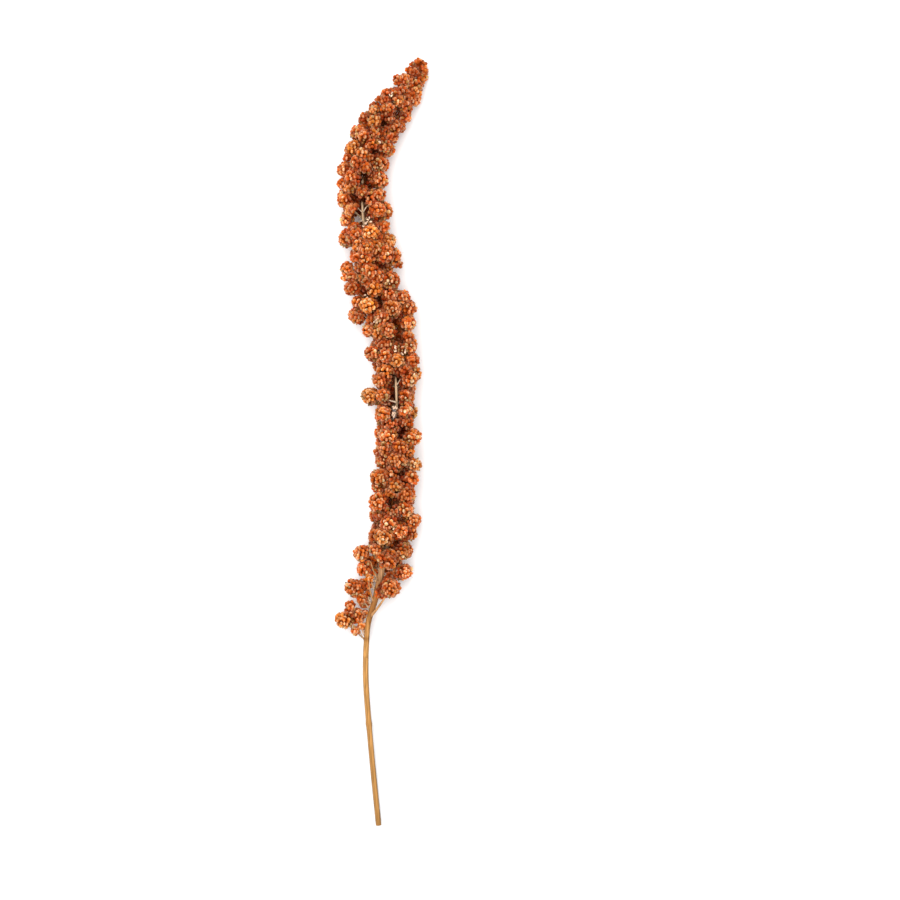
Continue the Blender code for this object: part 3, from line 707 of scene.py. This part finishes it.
class Grains:
    """Places every grain: position, direction, length, tuft and place up the head."""

    def __init__(self, tufts, spine, draw):
        rows = [grains_on(*tuft, draw) for tuft in zip(tufts.centre, tufts.radius, tufts.root)]
        self.spot = np.vstack([spots for spots, _ in rows])
        self.normal = np.vstack([facing for _, facing in rows])
        self.owner = np.concatenate([np.full(len(spots), k) for k, (spots, _) in enumerate(rows)])
        self.place = np.vstack([spine.places(spots) for spots, _ in rows])
        self.keep(self.uncovered(tufts) & ~in_opening(self.place, HOLLOW_ROOM))
        lean = GRAIN_LEAN * tufts.tipward[self.owner]
        stray = draw.normal(0, GRAIN_STRAY, self.spot.shape)
        self.direction = unit(self.normal + lean + stray)
        self.length = GRAIN_LENGTH * draw.uniform(*GRAIN_LENGTHS, len(self.spot))

    def keep(self, kept):
        self.spot, self.normal = self.spot[kept], self.normal[kept]
        self.owner, self.place = self.owner[kept], self.place[kept]

    def uncovered(self, tufts):
        """Which grains aren't buried in another tuft."""
        shown = np.ones(len(self.spot), bool)
        for k, (centre, radius) in enumerate(zip(tufts.centre, tufts.radius)):
            inside = np.linalg.norm(self.spot - centre, axis=1) < radius - BURIED
            shown &= ~(inside & (self.owner != k))
        return shown


def grain_form():
    """A unit grain: its points, its faces as triangles, where its seams are, and its tone round it."""
    points, seams, flanks = [], [], []
    for t, share in GRAIN_RINGS:
        for k in range(GRAIN_SIDES):
            turn = 2 * math.pi * k / GRAIN_SIDES
            points.append((share * math.cos(turn), share * math.sin(turn), t))
            seams.append(1.0 if k % (GRAIN_SIDES // 2) == 0 else 0.0)
            flanks.append(FLANK_TONES[k % len(FLANK_TONES)])
    points.append((0.0, 0.0, 1.0))
    seams.append(0.0)
    flanks.append(1.0)
    faces = []
    for ring in range(len(GRAIN_RINGS) - 1):
        for k in range(GRAIN_SIDES):
            a, b = ring * GRAIN_SIDES + k, ring * GRAIN_SIDES + (k + 1) % GRAIN_SIDES
            faces += [(a, b, b + GRAIN_SIDES), (a, b + GRAIN_SIDES, a + GRAIN_SIDES)]
    last, tip = (len(GRAIN_RINGS) - 1) * GRAIN_SIDES, len(points) - 1
    for k in range(GRAIN_SIDES):
        faces.append((last + k, last + (k + 1) % GRAIN_SIDES, tip))
    return np.array(points), np.array(faces), np.array(seams), np.array(flanks)


def mesh_from(name, points, faces, tints):
    """A smooth mesh from arrays, in mm, with a colour for each point."""
    mesh = bpy.data.meshes.new(name)
    mesh.vertices.add(len(points))
    mesh.vertices.foreach_set("co", (points * MM).astype(np.float32).ravel())
    mesh.loops.add(faces.size)
    mesh.loops.foreach_set("vertex_index", faces.astype(np.int32).ravel())
    mesh.polygons.add(len(faces))
    mesh.polygons.foreach_set("loop_start", np.arange(0, faces.size, 3, dtype=np.int32))
    mesh.update(calc_edges=True)
    colours = np.ones((len(points), 4), np.float32)
    colours[:, :3] = tints
    tint = mesh.color_attributes.new("tint", "FLOAT_COLOR", "POINT")
    tint.data.foreach_set("color", colours.ravel())
    mesh.shade_smooth()
    return mesh


def add_piece(name, mesh, look, slot, *nodes):
    """Puts a mesh in the scene, riding on the one body and standing for the given nodes."""
    piece = bpy.data.objects.new(name, mesh)
    bpy.context.scene.collection.objects.link(piece)
    mesh.materials.append(look)
    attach(piece, "root")
    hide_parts(*nodes)
    return piece


def inside_box(points):
    """Points held inside the solids' own box, which flattens what presses on the surface."""
    low, high = np.array(cad_box[0][:]) / MM, np.array(cad_box[1][:]) / MM
    return np.clip(points, low, high)


def mixed(first, second, share):
    return first * (1 - share) + np.array(second) * share


def outwardness(grains, tufts):
    """How near each grain is to the head's outside: 1 there, less towards the rachis."""
    packed = np.interp(reach_share(grains, tufts), INNER_REACH, (0, 1))
    return np.where(tufts.loose[grains.owner], 1.0, packed)


def pale_spots(grains):
    """The extra share of empty husks for each grain, from the pale spots on the upper side."""
    s, across, above, _ = grains.place.T
    share = np.zeros(len(s))
    for place, middle, radius, most in PALE_SPOTS:
        off = np.hypot(s - place, across - middle) / radius
        share = np.maximum(share, most * np.clip(PALE_SPOT_EDGE * (1 - off), 0, 1))
    return share * (above > 0)


def crevice_shading(grains, tufts):
    """The painted crevice shade on each grain: 1 on its tuft's open side, less in a crevice."""
    nearest = np.full(len(grains.spot), FAR)
    for k, (centre, radius) in enumerate(zip(tufts.centre[:tufts.main], tufts.radius)):
        share = np.linalg.norm(grains.spot - centre, axis=1) / radius
        other = tufts.whole[grains.owner] != k
        nearest = np.where(other, np.minimum(nearest, share), nearest)
    return np.interp(nearest, CREVICE, (CREVICE_SHADE, 1.0))


def hollow_shading(grains):
    """The painted shade on each grain from the hollows of the upper side: less than 1 near one."""
    s, across, above, _ = grains.place.T
    nearest = np.full(len(s), FAR)
    for start, end, middle, half_width in HOLLOWS:
        off = np.hypot(np.maximum(np.maximum(start - s, s - end), 0.0), across - middle) - half_width
        nearest = np.minimum(nearest, off)
    return np.where(above > 0, np.interp(nearest, HOLLOW_REACH, (HOLLOW_SHADE, 1.0)), 1.0)


def reach_share(grains, tufts):
    """How far each grain is from the axis, as a share of the head's outer radius there."""
    head = tufts.place[:, 0].max()
    outer = np.array([along(HEAD_RADIUS, min(max(s / head, 0.0), 1.0)) for s in grains.place[:, 0]])
    return grains.place[:, 3] / outer


def painted_light(grains, tufts):
    """The painted light on each grain: painted shade inside the head, in a crevice and beside a hollow."""
    shade = INNER_SHADE + (1 - INNER_SHADE) * outwardness(grains, tufts)
    lit = np.interp(reach_share(grains, tufts), LIT_REACH, (0, 1))
    tip = np.interp(grains.place[:, 0], TIP_CLEARS, (0, TIP_CLEARNESS))
    clear = np.maximum(crevice_shading(grains, tufts), np.maximum(lit, tip))
    clear *= lit + (1 - lit) * hollow_shading(grains)
    return shade * clear


def own_tints(grains, tufts, husk, draw):
    """Each grain's own colour: orange, with rust, tan and cream ones among them."""
    count, tuft_count = len(grains.spot), len(tufts.centre)
    pale_tuft = PALE_TUFT * (draw.random(tuft_count) < PALE_TUFT_SHARE)
    rusty_tuft = TUFT_RUST * draw.random(tuft_count) ** 2
    rust = draw.random(count) ** RUST_POWER * GRAIN_BLEND + rusty_tuft[grains.owner]
    tan = draw.random(count) ** TAN_POWER * GRAIN_BLEND + pale_tuft[grains.owner]
    rust, tan = np.clip(rust, 0, MOST_BLEND)[:, None], np.clip(tan, 0, MOST_BLEND)[:, None]
    tint = mixed(mixed(np.array(ORANGE)[None], RUST, rust), TAN, tan)
    tint = np.where(draw.random((count, 1)) < CREAM_SHARE, np.array(CREAM), tint)
    return np.where(husk[:, None], np.array(CREAM) * draw.uniform(*HUSK_TONES, (count, 1)), tint)


def grain_tints(grains, tufts, husk, draw):
    """One colour for each grain, toned by tuft, by grain and by the painted light and shade on it."""
    tint = own_tints(grains, tufts, husk, draw)
    tone = draw.uniform(*TUFT_TONES, len(tufts.centre))[grains.owner][:, None]
    tone = tone * draw.uniform(*GRAIN_TONES, (len(husk), 1))
    return tint * tone * painted_light(grains, tufts)[:, None] ** np.array(SHADE_POWERS)


def placed(form, spots, directions, lengths, widths, thicknesses):
    """The unit grain's points at every spot, as one row of points for each."""
    side = unit(np.cross(askew(directions), directions))
    other = np.cross(directions, side)
    return (
        spots[:, None]
        + form[None, :, :1] * (side * widths[:, None])[:, None]
        + form[None, :, 1:2] * (other * thicknesses[:, None])[:, None]
        + (form[None, :, 2:] - 0.5) * (directions * lengths[:, None])[:, None]
    )


def repeated(faces, count, size):
    """The unit grain's faces, once for each of count grains of that many points."""
    offsets = np.arange(count)[:, None, None] * size
    return (faces[None] + offsets).reshape(-1, 3)


def empty_husks(grains, tufts, draw):
    """Which grains are empty husks: a few anywhere, more on a tuft's footward side and in pale spots."""
    footward = -np.sum(grains.normal * tufts.tipward[grains.owner], axis=1)
    share = HUSK_SHARE + FOOT_HUSK_SHARE * np.clip(2 * footward - 1, 0, 1) + pale_spots(grains)
    return draw.random(len(grains.spot)) < share


def grain_points(form, grains, husk, draw):
    """The points of every grain."""
    length = grains.length * np.where(husk, HUSK_LENGTH, 1.0)
    width = 0.5 * grains.length * GRAIN_WIDTH * np.where(husk, HUSK_WIDTH, 1.0)
    flat = draw.uniform(*GRAIN_FLATNESS, len(width))
    return placed(form, grains.spot, grains.direction, length, width, width * flat)


def grain_colours(form, seams, flanks, tints, draw):
    """A colour for every grain point: painted shade at the base, darker flanks, pale seams, a tip partly
    painted highlight.
    """
    heights = form[:, 2]
    # The tip pales partly as the husk's own pale tip and partly as a painted highlight.
    paler = np.maximum(np.interp(heights, *TIP_PALENESS_AND_HIGHLIGHT), SEAM_PALENESS * seams)[None, :, None]
    paler = paler * draw.uniform(*PALENESS_TONES, (len(tints), 1, 1))
    pale = np.array(CREAM) * PALE_GAIN * tints.max(axis=1)[:, None, None]
    speckle = draw.uniform(*SPECKLE, (len(tints), len(form), 1))
    # Painted shade at the grain's base, times the darker flanks and speckle of the husk itself.
    shade = (np.interp(heights, *BASE_SHADE_TONES) * flanks)[None, :, None] * speckle
    colours = tints[:, None] * (1 - paler) + pale * paler
    return np.clip(colours * shade ** np.array(SHADE_POWERS), 0, 1)


def seed_pieces(grains, tufts, look, draw):
    """The grains, as a few meshes one after another up the head."""
    form, faces, seams, flanks = grain_form()
    husk = empty_husks(grains, tufts, draw)
    tints = grain_tints(grains, tufts, husk, draw)
    points = grain_points(form, grains, husk, draw)
    colours = grain_colours(form, seams, flanks, tints, draw)
    order = np.argsort(grains.place[:, 0], kind="stable")
    for number, share in enumerate(np.array_split(order, PIECES)):
        own = inside_box(points[share].reshape(-1, 3))
        all_faces = repeated(faces, len(share), len(form))
        mesh = mesh_from(f"grains_{number + 1}", own, all_faces, colours[share].reshape(-1, 3))
        add_piece(f"grains_{number + 1}", mesh, look, "grain", "seed_head")


def chaff(axis, look, draw):
    """Loose pale husks, thin and cupped, caught in the hollows and between the tufts."""
    form, faces, _, _ = grain_form()
    spots, directions = [], []
    for s, across, above, count, spread in CHAFF:
        middle = np.array(on_head(axis, (s, across, above))[:])
        away = draw.normal(0, 1, (count, 3)) * CHAFF_LAYER
        spots.append(middle + unit(away) * spread * draw.uniform(*CHAFF_SPREAD, (count, 1)))
        directions.append(unit(draw.normal(0, 1, (count, 3)) * CHAFF_LIE))
    spots, directions = np.vstack(spots), np.vstack(directions)
    lengths = CHAFF_LENGTH * draw.uniform(*CHAFF_LENGTHS, len(spots))
    widths = lengths * CHAFF_WIDTH / 2
    points = placed(form, spots, directions, lengths, widths, CHAFF_THICKNESS * widths)
    tints = np.array(CHAFF_TINT) * draw.uniform(*CHAFF_TONES, (len(spots), 1, 1))
    colours = np.broadcast_to(tints, points.shape).reshape(-1, 3)
    own = inside_box(points.reshape(-1, 3))
    mesh = mesh_from("chaff", own, repeated(faces, len(spots), len(form)), colours)
    add_piece("chaff", mesh, look, "grain", "seed_head")


def tube(centres, radii, sides, closed_ends=True):
    """Points and triangles of a round tube through centres, in mm."""
    centres = np.array([c[:] for c in centres])
    tangent = unit(np.gradient(centres, axis=0))
    across = unit(np.cross(tangent, askew(tangent[0])))
    up = np.cross(across, tangent)
    turn = angles_round(sides)
    ring = np.cos(turn)[None, :, None] * across[:, None] + np.sin(turn)[None, :, None] * up[:, None]
    points = (centres[:, None] + ring * np.asarray(radii).reshape(len(centres), -1, 1)).reshape(-1, 3)
    faces = []
    for i in range(len(centres) - 1):
        for k in range(sides):
            a, b = i * sides + k, i * sides + (k + 1) % sides
            faces += [(a, b, b + sides), (a, b + sides, a + sides)]
    if closed_ends:
        points = np.vstack([points, centres[:1], centres[-1:]])
        first, last = len(points) - 2, len(points) - 1
        top = (len(centres) - 1) * sides
        for k in range(sides):
            faces.append((first, (k + 1) % sides, k))
            faces.append((last, top + k, top + (k + 1) % sides))
    return points, np.array(faces)


def joined(parts):
    """Several (points, faces, tints) as one."""
    offset, points, faces, tints = 0, [], [], []
    for own_points, own_faces, own_tints in parts:
        points.append(own_points)
        faces.append(own_faces + offset)
        tints.append(np.broadcast_to(own_tints, own_points.shape))
        offset += len(own_points)
    return np.vstack(points), np.vstack(faces), np.vstack(tints)


def add_joined(name, parts, look, slot, replaced):
    """Puts several (points, faces, tints) in the scene as one piece."""
    add_piece(name, mesh_from(name, *joined(parts)), look, slot, replaced)


def tuft_cores(tufts, look):
    """Inner balls in painted shade, so that no light comes through between the grains."""
    bm = bmesh.new()
    bmesh.ops.create_icosphere(bm, subdivisions=2, radius=1.0)
    ball = np.array([vert.co[:] for vert in bm.verts])
    faces = np.array([[vert.index for vert in face.verts] for face in bm.faces])
    bm.free()
    parts = []
    for centre, radius, place in zip(tufts.centre, tufts.radius, tufts.place):
        inner = max(radius - CORE_DEPTH * GRAIN_LENGTH, LEAST_CORE)
        if in_opening(place[None], inner)[0]:
            continue
        parts.append((inside_box(centre + ball * inner), faces, np.array(CORE_SHADE_BROWN)))
    add_joined("tuft_cores", parts, look, "grain", "seed_head")


def risen(s):
    """How far the rachis rises at distance s up the head: 1 in the hollows where it shows."""
    light = 0.0
    for start, end in RACHIS_SHOWS:
        middle, half = (start + end) / 2, (end - start) / 2
        light += math.exp(-((s - middle) / (RACHIS_EASE * half)) ** 4)
    return min(light, 1.0)


def shown(s):
    """How far the rachis is in the light at distance s up the head: 1 at its foot and where it shows."""
    foot = math.exp(-(max(s - FOOT_LIGHT, 0.0) / FOOT_LIGHT_FADE) ** 2)
    return min(foot + risen(s), 1.0)


def rachis_tint(s):
    """The rachis's colour in the light at distance s up the head."""
    return [along([(place, tint[k]) for place, tint in RACHIS_TINTS], s) for k in range(3)]


def painted_side_shade(turn, darkness):
    """Painted shade: how much darker a stalk is at an angle round it than on its painted bright line."""
    return darkness * (1 - np.cos(turn - STEM_HIGHLIGHT_SIDE)) / 2


def rachis(axis, look):
    """The stem's thin upper part, up the middle of the head."""
    head = axis.length - STEM_LENGTH
    centres, radii, tints = [], [], []
    for i in range(RACHIS_RINGS + 1):
        s = head * i / RACHIS_RINGS - RACHIS_INSET * (i == 0)
        point, _, side, up = axis.at(STEM_LENGTH + s)
        light = shown(s)
        centres.append(point + up * RACHIS_RISE * risen(s) + side * along(RACHIS_BOW, max(s, 0.0)))
        radii.append(along(RACHIS_RADIUS, s / head) * (RACHIS_HIDDEN + (1 - RACHIS_HIDDEN) * light))
        # Painted light and shade: its own colour where it shows, the painted stalk shade where tufts hide
        # it.
        tints.append(mixed(np.array(SHADED_STALK), rachis_tint(s), light))
    points, faces = tube(centres, radii, RACHIS_SIDES)
    turn = angles_round(RACHIS_SIDES)
    # Painted shade round the rachis, darkest away from its painted bright line.
    shaded_sides = 1 - painted_side_shade(turn, RACHIS_SIDE_SHADE)
    ringed = (np.array(tints)[:, None] * shaded_sides[None, :, None]).reshape(-1, 3)
    colours = np.vstack([ringed, [tints[0], tints[-1]]])
    add_joined("rachis", [(points, faces, colours)], look, "straw", "seed_head")


def branchlets(axis, tufts, look, draw):
    """A thin stalk from the rachis into each tuft."""
    parts = []
    steps = np.linspace(0, 1, BRANCH_RINGS)
    radii = BRANCH_RADIUS * np.linspace(*BRANCH_TAPER, BRANCH_RINGS)
    for centre, root, place in zip(tufts.centre[:tufts.main], tufts.root[:tufts.main], tufts.place):
        # Painted shade: a branchlet takes the painted stalk shade where the rachis there is hidden.
        tint = mixed(np.array(SHADED_STALK), RACHIS_TINTS[-1][1], shown(place[0]))
        tint = tint * draw.uniform(*BRANCH_TONES)
        sag = np.array([0.0, 0.0, -BRANCH_SAG]) * np.linalg.norm(centre - root)
        bend = root + 0.5 * (centre - root) + sag + draw.normal(0, BRANCH_STRAY, 3)
        line = [root * (1 - t) ** 2 + 2 * t * (1 - t) * bend + t * t * centre for t in steps]
        points, faces = tube([Vector(p) for p in line], radii, BRANCH_SIDES)
        parts.append((inside_box(points), faces, tint))
    add_joined("branchlets", parts, look, "straw", "seed_head")


def on_head(axis, place):
    """The point at a (distance up the head, across, above) place."""
    point, _, side, up = axis.at(STEM_LENGTH + place[0])
    return point + side * place[1] + up * place[2]


def shown_stalks(axis, look, draw):
    """The pale stalks that show at the foot and in the hollows, each bowed a little."""
    parts = []
    for start, end, radius in SHOWN_STALKS:
        first, last = on_head(axis, start), on_head(axis, end)
        bow = Vector(draw.normal(0, STALK_BOW, 3)) * (last - first).length
        line = [first.lerp(last, t) + bow * 4 * t * (1 - t) for t in np.linspace(0, 1, STALK_RINGS)]
        points, faces = tube(line, np.linspace(radius, STALK_TAPER * radius, STALK_RINGS), STALK_SIDES)
        tint = FOOT_STALK if start[0] < FOOT_STALKS_END else PALE_STALK
        parts.append((inside_box(points), faces, np.array(tint) * draw.uniform(*STALK_TONES)))
    add_joined("stalks", parts, look, "straw", "seed_head")


def bristle(base, along_grain, draw):
    """One short tapered hair from a grain: its points, faces and colour."""
    direction = unit(along_grain + draw.normal(0, BRISTLE_STRAY, 3))
    side = unit(np.cross(direction, BRISTLE_SLANT))
    other = np.cross(direction, side)
    tip = base + direction * BRISTLE_LENGTH * draw.uniform(*BRISTLE_LENGTHS)
    ring = [base + BRISTLE_RADIUS * (math.cos(a) * side + math.sin(a) * other) for a in BRISTLE_CORNERS]
    faces = np.array([(0, 1, 3), (1, 2, 3), (2, 0, 3)])
    return inside_box(np.array([*ring, tip])), faces, np.array(RUST) * draw.uniform(*BRISTLE_TONES)


def bristles(grains, look, draw):
    """The hairs that stand out between some of the grains."""
    chosen = np.flatnonzero(draw.random(len(grains.spot)) < BRISTLE_SHARE)
    parts = [bristle(grains.spot[k], grains.direction[k], draw) for k in chosen]
    add_joined("bristles", parts, look, "grain", "seed_head")


def straw_rings(axis, turn):
    """The straw's rings from its cut end up: the middle of each, and its radius at every angle."""
    ribs = STEM_RIB_DEPTH * np.cos(STEM_RIBS * turn)
    ribs += STEM_FLUTE_SHARE * STEM_RIB_DEPTH * np.cos(STEM_FLUTES * turn + 1.0)
    centres, radii = [], []
    for i in range(STEM_RINGS + 1):
        s = STEM_LENGTH * i / STEM_RINGS
        centres.append(axis.at(s)[0])
        straw = STEM_RADIUS_AT_CUT + (STEM_RADIUS_AT_HEAD - STEM_RADIUS_AT_CUT) * s / STEM_LENGTH
        swell = STEM_JOINT_SWELL * math.exp(-((s - STEM_JOINT_AT) / STEM_JOINT_WIDTH) ** 2)
        radii.append(straw + swell - STEM_CLEARANCE + ribs)
    return centres, np.array(radii)


def straw_tints(turn):
    """Point colours: banded lengthwise, painted highlight on one side, painted shade round it, darker at the
    cut end.
    """
    band_and_shade = 1 + STEM_BANDING * np.cos(2 * turn + 0.6) * np.cos(3 * turn) - STEM_BANDING / 2
    # Painted shade on the sides and underside, against a painted highlight along the bright line.
    band_and_shade -= painted_side_shade(turn, STEM_SIDE_SHADE)
    fade = np.linspace(STEM_DARK_END, 1.0, STEM_RINGS + 1)[:, None] * band_and_shade[None]
    return fade.reshape(-1, 1) * np.array(STRAW)


def straw_end(ring, turn_round):
    """A flat end inside one ring of points, with pith inside a darker rind."""
    middle = ring.mean(axis=0)
    rind = middle + (ring - middle) * STEM_PITH_SHARE
    rows = np.arange(STEM_SIDES)
    following = (rows + 1) % STEM_SIDES
    inner, inner_following = rows + STEM_SIDES, following + STEM_SIDES
    hub = np.full(STEM_SIDES, 2 * STEM_SIDES)
    lid = np.vstack([
        np.stack([rows, following, inner_following], axis=1),
        np.stack([rows, inner_following, inner], axis=1),
        np.stack([inner, inner_following, hub], axis=1),
    ])[:, ::turn_round]
    tints = np.vstack([np.tile(STEM_RIND, (STEM_SIDES, 1)), np.tile(PITH, (STEM_SIDES + 1, 1))])
    return np.vstack([ring, rind, middle]), lid, tints


def stem(axis, look):
    """The bare straw: fine ribs along it, a collar where a leaf grew, and a pithy cut end."""
    turn = angles_round(STEM_SIDES)
    points, faces = tube(*straw_rings(axis, turn), STEM_SIDES, closed_ends=False)
    parts = [
        (points, faces, straw_tints(turn)),
        straw_end(points[:STEM_SIDES], -1),
        straw_end(points[-STEM_SIDES:], 1),
    ]
    points, faces, tints = joined(parts)
    add_joined("straw", [(inside_box(points), faces, tints)], look, "straw", "stem")


def node(tree, kind, **settings):
    """A new node of a material, with its settings."""
    made = tree.nodes.new(kind)
    for name, value in settings.items():
        setattr(made, name, value)
    return made


def new_look(name, roughness, shine):
    """A material with its tree, shader and a Color Attribute node that reads each piece's tint."""
    look = bpy.data.materials.new(name)
    look.use_nodes = True
    tree = look.node_tree
    shader = tree.nodes["Principled BSDF"]
    shader.inputs["Roughness"].default_value = roughness
    shader.inputs["Specular IOR Level"].default_value = shine
    shader.inputs["Specular Tint"].default_value = (*GLOSS_TINT, 1.0)
    tint = node(tree, "ShaderNodeVertexColor", layer_name="tint")
    return look, tree, shader, tint.outputs["Color"]


def noise(tree, scale, detail, stretch=(1.0, 1.0, 1.0)):
    """Noise in the object's own coordinates, with scale in cycles per metre."""
    place = node(tree, "ShaderNodeTexCoord")
    mapping = node(tree, "ShaderNodeMapping")
    mapping.inputs["Scale"].default_value = stretch
    made = node(tree, "ShaderNodeTexNoise")
    made.inputs["Scale"].default_value = scale
    made.inputs["Detail"].default_value = detail
    tree.links.new(place.outputs["Object"], mapping.inputs["Vector"])
    tree.links.new(mapping.outputs["Vector"], made.inputs["Vector"])
    return made.outputs["Fac"]


def toned(tree, colour, factor, low, high):
    """The colour made darker or lighter, from low to high, as factor goes from 0.3 to 0.7."""
    reach = node(tree, "ShaderNodeMapRange")
    reach.inputs["From Min"].default_value = 0.3
    reach.inputs["From Max"].default_value = 0.7
    reach.inputs["To Min"].default_value = low
    reach.inputs["To Max"].default_value = high
    scaled = node(tree, "ShaderNodeVectorMath", operation="SCALE")
    tree.links.new(factor, reach.inputs["Value"])
    tree.links.new(colour, scaled.inputs[0])
    tree.links.new(reach.outputs["Result"], scaled.inputs["Scale"])
    return scaled.outputs["Vector"]


def raised(tree, shader, height, distance):
    """Relief on the surface, up to distance metres high."""
    bump = node(tree, "ShaderNodeBump")
    bump.inputs["Strength"].default_value = RELIEF
    bump.inputs["Distance"].default_value = distance
    tree.links.new(height, bump.inputs["Height"])
    tree.links.new(bump.outputs["Normal"], shader.inputs["Normal"])


def husk_look():
    """Dry glossy husks: patchy colour within each grain and fine wrinkles."""
    look, tree, shader, tint = new_look("millet_husk", *HUSK_FINISH)
    patches = noise(tree, HUSK_PATCHES[0], 3.0)
    wrinkles = noise(tree, HUSK_WRINKLES[0], 2.0)
    colour = toned(tree, tint, patches, *HUSK_PATCHES[1])
    colour = toned(tree, colour, wrinkles, *HUSK_WRINKLES[1])
    tree.links.new(colour, shader.inputs["Base Color"])
    raised(tree, shader, wrinkles, WRINKLE_HEIGHT)
    return look


def core_shade_look():
    """Painted shade: the dark inside of a tuft."""
    look, tree, shader, tint = new_look("tuft_inside_shade", *CORE_FINISH)
    patches = noise(tree, CORE_PATCHES[0], 2.0)
    tree.links.new(toned(tree, tint, patches, *CORE_PATCHES[1]), shader.inputs["Base Color"])
    return look


def straw_look(name, finish, streak_tones):
    """Dry straw with fine streaks along its length, which runs close to Y."""
    look, tree, shader, tint = new_look(name, *finish)
    streaks = noise(tree, STREAKS, 3.0, STREAK_STRETCH)
    blotches = noise(tree, STRAW_BLOTCHES[0], 2.0, BLOTCH_STRETCH)
    colour = toned(tree, tint, streaks, *streak_tones)
    colour = toned(tree, colour, blotches, *STRAW_BLOTCHES[1])
    tree.links.new(colour, shader.inputs["Base Color"])
    raised(tree, shader, streaks, STREAK_HEIGHT)
    return look


def stage():
    """A pale floor under soft light from above and the upper left."""
    bpy.ops.mesh.primitive_plane_add(size=FLOOR_SIZE, location=(0, 0, -FLOOR_DROP))
    floor = bpy.context.object
    floor.name = "floor"
    paint = bpy.data.materials.new("pale_floor")
    paint.use_nodes = True
    shader = paint.node_tree.nodes["Principled BSDF"]
    shader.inputs["Base Color"].default_value = (FLOOR_GREY, FLOOR_GREY, FLOOR_GREY, 1.0)
    shader.inputs["Roughness"].default_value = FLOOR_ROUGHNESS
    floor.data.materials.append(paint)
    world = bpy.data.worlds.new("soft_room")
    bpy.context.scene.world = world
    world.use_nodes = True
    world.node_tree.nodes["Background"].inputs["Color"].default_value = (1.0, 1.0, 1.0, 1.0)
    world.node_tree.nodes["Background"].inputs["Strength"].default_value = ROOM_LIGHT
    add_light("key", KEY_PLACE, KEY_SIZE, KEY_POWER)


def add_light(name, place, size, power):
    """A square soft light that faces the middle of the object."""
    light = bpy.data.lights.new(name, "AREA")
    light.size = size
    light.energy = power
    made = bpy.data.objects.new(name, light)
    made.location = place
    made.rotation_euler = (-Vector(place)).to_track_quat("-Z", "Y").to_euler()
    bpy.context.scene.collection.objects.link(made)


def camera():
    """Straight down on the object, with the frame where the photograph has it."""
    lens = bpy.data.cameras.new("camera")
    lens.lens = LENS
    lens.sensor_width = SENSOR
    lens.clip_start = 0.01
    made = bpy.data.objects.new("camera", lens)
    centre = FRAME_CENTRE - ORIGIN
    made.location = (centre.x * MM, centre.y * MM, (centre.z + FRAME_WIDTH * LENS / SENSOR) * MM)
    bpy.context.scene.collection.objects.link(made)
    bpy.context.scene.camera = made


def main():
    draw = np.random.default_rng(SEED)
    axis = Axis()
    spine = Spine(axis)
    tufts = Tufts(axis, spine)
    grains = Grains(tufts, spine, draw)
    husks = husk_look()
    straw = straw_look("millet_straw", STRAW_FINISH, STRAW_STREAK_TONES)
    bark = straw_look("millet_rachis", RACHIS_FINISH, RACHIS_STREAK_TONES)
    seed_pieces(grains, tufts, husks, draw)
    tuft_cores(tufts, core_shade_look())
    rachis(axis, bark)
    branchlets(axis, tufts, bark, draw)
    shown_stalks(axis, bark, draw)
    chaff(axis, husks, draw)
    bristles(grains, husks, draw)
    stem(axis, straw)
    stage()
    camera()
    bpy.context.scene.view_settings.view_transform = "Standard"
    print("tufts", len(tufts.centre), "grains", len(grains.spot))


main()
